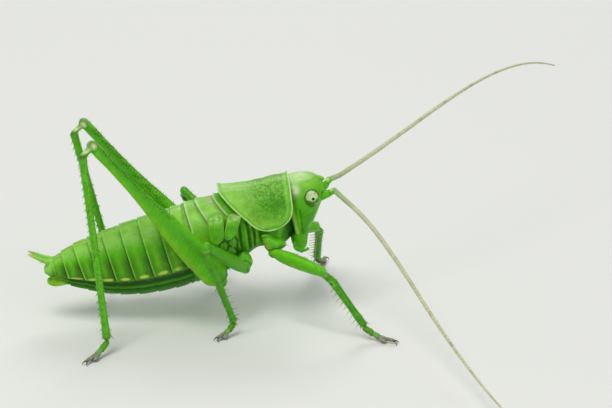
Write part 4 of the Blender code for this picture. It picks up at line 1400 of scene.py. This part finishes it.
def make_coxa(pair, side, limb, femur):
    """The hip: a lobe with a ridge, with painted shade on its lower faces and a painted highlight along the
    ridge; the front one widens forwards and bears a pale thorn, whose cream is partly a painted highlight.
    """
    front, middle = pair == "front", pair == "middle"
    out = LEFT * SIDES[side]
    head = limb.start - AHEAD * 0.30 + out * 0.22 + RISE * 0.08 if front else None
    grid, share, _ = limb_grid(limb, 60, 36, 2.1, 0.15, 0.04, head=head)
    if front:
        ahead_of = np.maximum((grid - grid.mean(1, keepdims=True)) @ AHEAD, 0)
        grid = grid + AHEAD * (ahead_of * 1.15 * bell(share - 0.78, 0.36))[..., None]
    facing = normals(grid)
    ridge = bell(around(36) - 1.3, 0.16)[None]
    grid = push(grid, 0.04 * ridge * ease(share, 0.05, 0.3) + (0.05 if middle else 0.02) * grain(grid, 0.3))
    lumps = grain(grid, 0.3)
    tint = paint(
        grid,
        LEAF,
        # painted shade on the faces turned downwards
        (DEEP, 0.7 * ease(-facing @ RISE, 0.0, 0.8)),
        # painted highlight along the ridge
        (PALE, 0.45 * ridge),
        (YELLOW * (0.8, 0.8, 0.5), front * 0.85 * ease(-facing @ AHEAD, 0.05, 0.6) * ease(lumps, -0.35, 0.1)),
        (YELLOW * 0.9, (0.75 if front else 0.35) * ease(share, 0.82, 0.98)),
        (SHADE, 0.8 * bell(share - 0.78, 0.03)),
        (DEEP * 0.8, 0.5 * ease(lumps, 0.0, 0.4)),
        # on the middle hip: dark and pale patches as painted shade and painted highlight on its lumps
        (SHADE, middle * 0.5 * ease(grain(grid, 0.32, 8.0), 0.0, 0.5) * (1 - ease(share, 0.3, 0.7))),
        (PALE * 1.3, middle * 0.6 * ease(grain(grid, 0.35, 5.0), 0.1, 0.6) * ease(share, 0.2, 0.5)),
    )
    shape = Shape()
    shape.loft(grid, tint)
    reach = unit(femur.start - limb.end + femur.axis * 0.3)
    size = limb.depth[-1] * 0.98
    line = (limb.end + femur.start) / 2 + reach * np.array((-0.42, 0.0, 0.46))[:, None]
    # the trochanter, darker on its lower side as painted shade
    pad_lobe(shape, line, (size * 0.8, size, size * 0.75), (size * 0.8, size, size * 0.8), (LEAF, DEEP))
    if front:
        outward = across(RISE + AHEAD * 0.5, limb.axis)
        base = limb.start + limb.axis * limb.length * 0.50 + outward * limb.depth[4] * 0.72
        bends = (0 * out, AHEAD * 0.40 - RISE * 0.06 + out * 0.12, AHEAD * 0.82 - RISE * 0.42 + out * 0.20)
        share = np.linspace(0, 1, 24)
        line = spread(base + bends, share)
        # the thorn pale to cream: partly its own colour, partly a painted highlight along the hip's front
        # edge
        tube(shape, line, 0.105 - 0.087 * share, paint(line, PALE, (CREAM, 0.3 + 0.7 * share)), 12)
    shape.make(f"coxa_skin_{pair}_{side}", LIMB, "limb_green", f"coxa_{pair}_{side}")


DOT_ROWS = (32, 48, 64, 81, 99, 116, 132, 148)  # degrees round a hind femur where its dots run


def dot_rows(along, girth, rows):
    """A mask of small round dots in uneven rows along a limb."""
    mask = np.zeros(along.shape)
    for row in rows:
        pitch = 0.215 + 0.02 * random.random()
        place = along / pitch + 7 * random.random()
        cell = np.floor(place)
        drift = 0.26 * np.sin(cell * 12.9898 + row * 78.2)
        near = (place - cell - 0.5 - drift) * pitch
        off = girth - row - 0.055 * np.sin(cell * 4.1 + row * 9)
        size = 0.052 + 0.014 * np.sin(cell * 7.7 + row * 31)
        mask = np.maximum(mask, bell(np.hypot(near, off) / size, 1.0) ** 0.7)
    return mask


def knee_lobe(shape, limb, sign):
    """The rounded flap of the thigh that covers one side of the knee, with its pale spot."""
    depth, width = limb.depth[-1], limb.width[-1]
    centre = limb.end - limb.axis * 0.36 - limb.up * 0.04 + limb.side * sign * width * 0.80
    share = np.linspace(-1, 1, 30)[:, None]
    size = np.sqrt(np.clip(1 - share**2, 0.002, 1))
    wide, deep = 0.10 * size[:, 0], depth * 0.86 * size[:, 0]
    grid = sweep(centre + limb.axis * share * 0.36, 24, limb.side, limb.up, wide, deep)
    tall = np.sin(around(24)) * size
    tint = paint(
        grid,
        LEAF * 0.95,
        (CREAM * (1.15, 0.92, 1.15), 1.1 * blob(share - 0.10, tall - 0.15, (0.55, 0.55))),
        (BROWN * 1.5, 0.5 * ease(share, 0.72, 0.98)),
        (DEEP * 0.5, 0.55 * bell(np.hypot(share, tall) - 0.93, 0.08)),
    )
    shape.loft(grid, tint)


def make_femur(pair, side, limb, coat, strip):
    def slim(share):
        return 1 - 0.22 * (1 - ease(share, 0.0, 0.16))

    shape = Shape()
    if pair == "hind":
        grid = hind_femur(shape, limb)
    else:
        grid, share, rise = limb_grid(limb, 150, 44, 2.05, 0.10, 0.05, slim)
        grid = push(grid, 0.012 * grain(grid, 0.5) + 0.004 * grain(grid, 0.12))
        gleam = bell(rise + 0.1, 0.45) * ease(share, 0.02, 0.2) * (1 - ease(share, 0.5, 0.8))
        tint = paint(
            grid,
            LEAF,
            # painted highlight on the upper side, pale and bluish; the gleam below it is painted highlight
            # too
            (LEAF * (1.5, 1.22, 1.9), 0.8 * ease(rise, 0.25, 0.95)),
            (LIME, 0.45 * gleam),
            # painted shade on the underside
            (DEEP, 0.55 * ease(-rise, 0.5, 1.0)),
            # the middle leg's thigh darkened all over as painted shade under the body
            (DEEP, np.array([0.45 if pair == "middle" else 0.0])),
            (BLUSH * (1.1, 1.0, 0.5), 0.55 * (1 - ease(share, 0.01, 0.07))),
            (LEAF, 0.55 * ease(share, 0.945, 0.985)),
        )
        shape.loft(grid, tint)
    shape.make(f"femur_skin_{pair}_{side}", LIMB, "limb_green", f"femur_{pair}_{side}")
    count = 520 if pair == "hind" else 260
    leg_hairs(coat, grid, limb, count, (0.35, 0.98), 0.17, SHADE * 1.6, strip, (0.08, 0.42))
    leg_hairs(coat, grid, limb, count // 2, (0.05, 0.98), 0.12, LIME * 0.6, strip)


def hind_femur(shape, limb):
    """The jumping leg's thigh, with its four keels, chevrons, rows of dots and knee flaps."""
    grid, share, rise = limb_grid(limb, 260, 56, 2.05, 0.10, 0.05)
    angle = around(56)[None]
    height = 0.012 * grain(grid, 0.5) + 0.004 * grain(grid, 0.12)
    for place in (0.22, 0.78, 1.26, 1.74):
        miss = np.abs(np.angle(np.exp(1j * (angle - place * np.pi))))
        height = height + 0.028 * bell(miss, 0.10) * (1 - ease(share, 0.75, 0.92))
    outer = np.cos(angle) ** 2
    chevron = np.sin((share * limb.length + 0.35 * np.abs(np.sin(angle)) * 1.4) / 0.052)
    height = height + 0.008 * chevron * outer * ease(share, 0.06, 0.14) * (1 - ease(share, 0.62, 0.74))
    grid = push(grid, height)
    girth = limb.depth.mean()
    dots = dot_rows(share * limb.length, angle * girth, np.radians(DOT_ROWS) * girth)
    tint = paint(
        grid,
        LEAF,
        # painted highlight on the upper side, pale and bluish
        (LEAF * (1.5, 1.22, 1.9), 0.8 * ease(rise, 0.25, 0.95)),
        # painted shade along the middle of the side
        (DEEP, 0.45 * bell(rise - 0.1, 0.35)),
        # the lower edge yellow-green as a painted highlight
        (LIME, 0.85 * ease(-rise, 0.45, 0.95) * (1 - ease(share, 0.8, 0.95))),
        (DEEP * 0.9, 0.18 * (chevron > 0.4) * outer * (1 - ease(share, 0.6, 0.75))),
        (BLUSH * 0.9, 0.55 * ease(share, 0.945, 0.985)),
        (DEEP * 0.8, 0.45 * ease(share, 0.45, 0.8) * bell(rise - 0.55, 0.4)),
        (SHADE * 0.25, dots * ease(share, 0.36, 0.50) * (1 - ease(share, 0.90, 0.96))),
    )
    shape.loft(grid, tint)
    for sign in (-1, 1):
        knee_lobe(shape, limb, sign)
    return grid


def make_tibia(pair, side, limb, femur, coat, strip):
    hind, front = pair == "hind", pair == "front"

    def thick(share):
        if front:
            return 0.84 + 0.20 * bell(share - 0.15, 0.07) + 0.18 * bell(share - 0.92, 0.16)
        return 0.86 + 0.20 * bell(share - 0.01, 0.05) + 0.14 * bell(share - 1.0, 0.05)

    head = femur.end - femur.axis * 0.20 - femur.up * 0.04
    rows, squareness = (240, 2.6) if hind else (130, 2.2)
    grid, share, rise = limb_grid(limb, rows, 36, squareness, 0.30, 0.16, thick, head)
    cosine = np.cos(around(36))
    drum = np.hypot((share - 0.15) * limb.length / 0.26, np.abs(cosine) ** 2 - 1)
    flank = front * (np.abs(cosine) > 0.5)  # the hearing organs of the front legs lie here
    grid = push(grid, 0.006 * grain(grid, 0.25) - 0.05 * bell(drum, 0.6) * flank)
    # painted shade: the front and middle shins darker all over, and every shin darker underneath
    deep = (0.0 if hind else 0.72) + 0.28 * ease(-rise, -0.2, 0.8)
    knee = (0.6 if hind else 0.3) * (1 - ease(share, -0.02, 0.02))
    below_knee = (0.75 if hind else 0.25) * bell(share - 0.045, 0.014) * ease(rise, -0.6, 0.2)
    specks = (0.8 if hind else 0.35) * ease(grain(grid, 0.07), 0.33, 0.45) * ease(share, 0.04, 0.1)
    tint = paint(
        grid,
        LEAF,
        (DEEP, deep),
        (LIME, 0.22 * ease(grain(grid, 0.4), 0.0, 0.4)),
        (PALE * 1.1, 0.6 * bell(drum - 0.75, 0.25) * flank),
        (SHADE, 0.7 * bell(drum, 0.35) * flank),
        (BLUSH * (1.0, 0.85, 0.9), knee),
        (CREAM * (1.1, 1.0, 1.2), hind * 0.95 * bell(share - 0.012, 0.014) * ease(rise, -0.3, 0.4)),
        (MAROON, below_knee),
        (SHADE * 0.6, specks),
        (BROWN * 1.6, 0.35 * ease(share, 0.95, 1.0)),
    )
    shape = Shape()
    shape.loft(grid, tint)
    shape.make(f"tibia_skin_{pair}_{side}", LIMB, "limb_green", f"tibia_{pair}_{side}")
    spines = Shape()
    tints = (LEAF * 0.9, BROWN * 0.8) if hind else (LIME * 0.7 + BROWN, BROWN * 1.6)
    if hind:
        spine_rows(spines, limb, (-42, 42), (0.10, 0.95), 24, 0.9, 0.22, 0.032, tints)
        spine_rows(spines, limb, (-140, 140), (0.40, 0.95), 9, 0.9, 0.20, 0.028, tints)
    else:
        spine_rows(spines, limb, (-148, 148), (0.26, 0.95), 9, 0.35, 0.46 if front else 0.36, 0.026, tints)
    if pair == "middle":
        spine_rows(spines, limb, (30,), (0.35, 0.9), 4, 0.9, 0.26, 0.03, tints)
    spine_rows(spines, limb, (-60, 60, 150, -150), (0.985, 0.985), 1, 1.4, 0.34, 0.04, tints)
    spines.make(f"tibia_spines_{pair}_{side}", HORN, "limb_green")
    leg_hairs(coat, grid, limb, 620 if hind else 420, (0.04, 0.99), 0.15, SHADE * 1.3, strip)


def make_foot(pair, side, ankle, coat, strip):
    """A foot of four joints: two slender ones, a broad heart-shaped one and a long one with two claws."""
    node = f"tarsus_{pair}_{side}"
    points = NETS[node][0]
    flat = points[:, :2] - points[:, :2].mean(0)
    heading = np.append(np.linalg.svd(flat, full_matrices=False)[2][0], 0.0)
    heading = heading * math.copysign(1, (points.mean(0) - ankle) @ heading)
    aside = np.cross(RISE, heading)
    along = points @ heading
    length = np.ptp(along)
    keys = np.linspace(0.03, 0.97, 13)
    cuts = [section([node], heading * (along.min() + length * key), heading) for key in keys]
    centres = np.array([(cut.max(0) + cut.min(0)) / 2 for cut in cuts])
    slope = (centres[0] - centres[1]) / (keys[1] - keys[0])
    shape = Shape()

    def at(share, lift=0.0, off=0.0):
        share = np.asarray(share, float)
        before = np.minimum(share - keys[0], 0)[..., None]
        return curve(keys, centres, share) - slope * before + RISE * lift + aside * off

    def joint(first, last, wide, deep, tints, lift=(0, 0)):
        share = np.linspace(0, 1, 26)
        line = at(first + (last - first) * share) + RISE * (lift[0] + (lift[1] - lift[0]) * share)[:, None]
        cap = rounded(share, 7, 0.01)
        grid = sweep(line, 24, aside, RISE, spread(wide, share) * cap, spread(deep, share) * cap, 2.2)
        grid[..., 2] = np.maximum(grid[..., 2], 0.0)
        under = ease(-oval(around(24), 2.2)[1], 0.1, 0.7)[None]
        speck = 0.45 * ease(grain(grid, 0.09), 0.1, 0.35)
        shape.loft(grid, paint(grid, tints[0], (tints[1], under), (BROWN, speck)))
        return grid

    green, grey = (LEAF * 0.8, BROWN * 1.3), (GREY * 0.75, BROWN * 1.2)
    first = joint(-0.05, 0.30, (0.17, 0.19, 0.21), (0.20, 0.21, 0.21), green, (0.02, 0.0))
    joint(0.27, 0.50, (0.15, 0.19, 0.21), (0.18, 0.19, 0.19), (LEAF * 0.6 + GREY * 0.3, BROWN))
    for off in (-0.11, 0.11):
        line = (at(0.46, 0.02, off * 0.6), at(0.58, -0.04, off * 1.2), at(0.70, -0.08, off * 1.5))
        pad_lobe(shape, line, (0.10, 0.15, 0.12), (0.13, 0.15, 0.09), grey)
    for share in (0.17, 0.38):
        for off in (-0.07, 0.07):
            line = (at(share, -0.10, off), at(share + 0.06, -0.15, off), at(share + 0.11, -0.14, off))
            pad_lobe(shape, line, (0.05, 0.08, 0.05), (0.06, 0.08, 0.05), (GREY * 1.1, BROWN * 1.4))
    last = joint(0.52, 0.93, (0.085, 0.10, 0.125), (0.10, 0.10, 0.12), grey, (0.08, 0.03))
    for sign in (-1, 1):
        arc = np.linspace(0, 1, 22)
        claw = at(0.90, 0.02, sign * 0.05) + heading * (0.125 * length * np.sin(arc * 1.9))[:, None]
        claw = claw + aside * (sign * 0.16 * arc)[:, None] - RISE * (0.22 * arc**1.8)[:, None]
        claw[:, 2] = np.maximum(claw[:, 2], 0.02)
        tube(shape, claw, 0.06 - 0.05 * arc, paint(claw, BROWN * 1.2, (BLACK, ease(arc, 0.4, 0.9))), 10)
    shape.make(f"foot_{pair}_{side}", LIMB, "foot_brown", node)
    for part in (first, last):
        scatter(coat, part, 70, (0.05, 0.95), (0, 1), 0.13, 0.0065, BROWN, heading * 0.8, strip)


def make_leg(pair, side, coat, strip):
    name = f"_{pair}_{side}"
    coxa = measure_limb("coxa" + name, NETS["thorax"][0].mean(0))
    femur = measure_limb("femur" + name, coxa.end)
    tibia = measure_limb("tibia" + name, femur.end)
    femur = measure_limb("femur" + name, coxa.end, femur.end - tibia.end)
    tibia = measure_limb("tibia" + name, femur.end, tibia.start - coxa.end)
    make_coxa(pair, side, coxa, femur)
    make_femur(pair, side, femur, coat, strip)
    make_tibia(pair, side, tibia, femur, coat, strip)
    make_foot(pair, side, tibia.end, coat, strip)


# ---------------------------------------------------------------- room, light and camera

LOOK_AT = np.array((-0.76, 1.99, 7.57))
CAMERA_AZIMUTH, CAMERA_HEIGHT = math.radians(-5), math.radians(20)
CAMERA_DISTANCE = 210.0
FLOOR_HALF = 1.5  # metres


def put(name, data, location=(0, 0, 0), facing=None):
    """An object in the scene, in metres, with its -Z turned to face along a direction."""
    made = bpy.data.objects.new(name, data)
    made.location = location
    if facing is not None:
        made.rotation_euler = Vector(facing).to_track_quat("-Z", "Y").to_euler()
    bpy.context.scene.collection.objects.link(made)
    return made


def make_camera():
    data = bpy.data.cameras.new("camera")
    data.lens, data.sensor_width = 190.0, 36.0
    data.clip_start, data.clip_end = 0.01, 5.0
    level = math.cos(CAMERA_HEIGHT)
    x, y = math.sin(CAMERA_AZIMUTH) * level, -math.cos(CAMERA_AZIMUTH) * level
    back = np.array((x, y, math.sin(CAMERA_HEIGHT)))
    bpy.context.scene.camera = put("camera", data, (LOOK_AT + back * CAMERA_DISTANCE) * MM, -back)


def make_light(name, place, size, power, colour=(1, 1, 1)):
    data = bpy.data.lights.new(name, "AREA")
    data.size, data.energy, data.color = size, power, colour
    put(name, data, place, [-part for part in place])


def make_room():
    material, tree, shader = new_material("floor")
    fill(tree, shader, {"Base Color": (0.80, 0.80, 0.78, 1), "Roughness": 0.85})
    mesh = bpy.data.meshes.new("floor")
    corners = [(x * FLOOR_HALF, y * FLOOR_HALF, 0) for x, y in ((-1, -1), (1, -1), (1, 1), (-1, 1))]
    mesh.from_pydata(corners, [], [(0, 1, 2, 3)])
    mesh.materials.append(material)
    put("floor", mesh)
    world = bpy.data.worlds.new("soft_light")
    world.use_nodes = True
    sky = world.node_tree.nodes["Background"]
    fill(world.node_tree, sky, {"Color": (0.93, 0.97, 0.95, 1), "Strength": 0.40})
    bpy.context.scene.world = world
    make_light("key", (-0.10, -0.13, 0.30), 0.16, 0.62, (1.0, 0.99, 0.95))
    make_light("fill", (0.22, -0.24, 0.10), 0.20, 0.16)
    make_light("rim", (0.05, 0.26, 0.20), 0.14, 0.28)
    bpy.context.scene.view_settings.view_transform = "Standard"


# ---------------------------------------------------------------- the animal


def make_all():
    body_coat, leg_coat, feeler_coat = Coat(), Coat(), Coat()
    make_abdomen(body_coat)
    make_thorax()
    make_pronotum()
    make_head()
    make_mouth()
    make_tail(body_coat)
    for side in SIDES:
        make_eye(side)
        make_palps(side)
        make_feeler(side, feeler_coat)
        make_wing_pad("fore_wing_pad", side, 0.25, ((-0.45, 0.3), (0.15, 0.25), (0.62, -0.1)))
        make_wing_pad("hind_wing_pad", side, 0.10, ((-0.30, -0.25), (0.22, 0.0), (0.62, 0.0)))
    legs = [(pair, side) for side in SIDES for pair in PAIRS]
    for i, (pair, side) in enumerate(legs):
        make_leg(pair, side, leg_coat, (i / len(legs), (i + 1) / len(legs)))
    body_coat.make("body_hairs", "leaf_green")
    leg_coat.make("leg_hairs", "limb_green")
    feeler_coat.make("feeler_hairs", "feeler_pink")
    make_room()
    make_camera()


make_all()
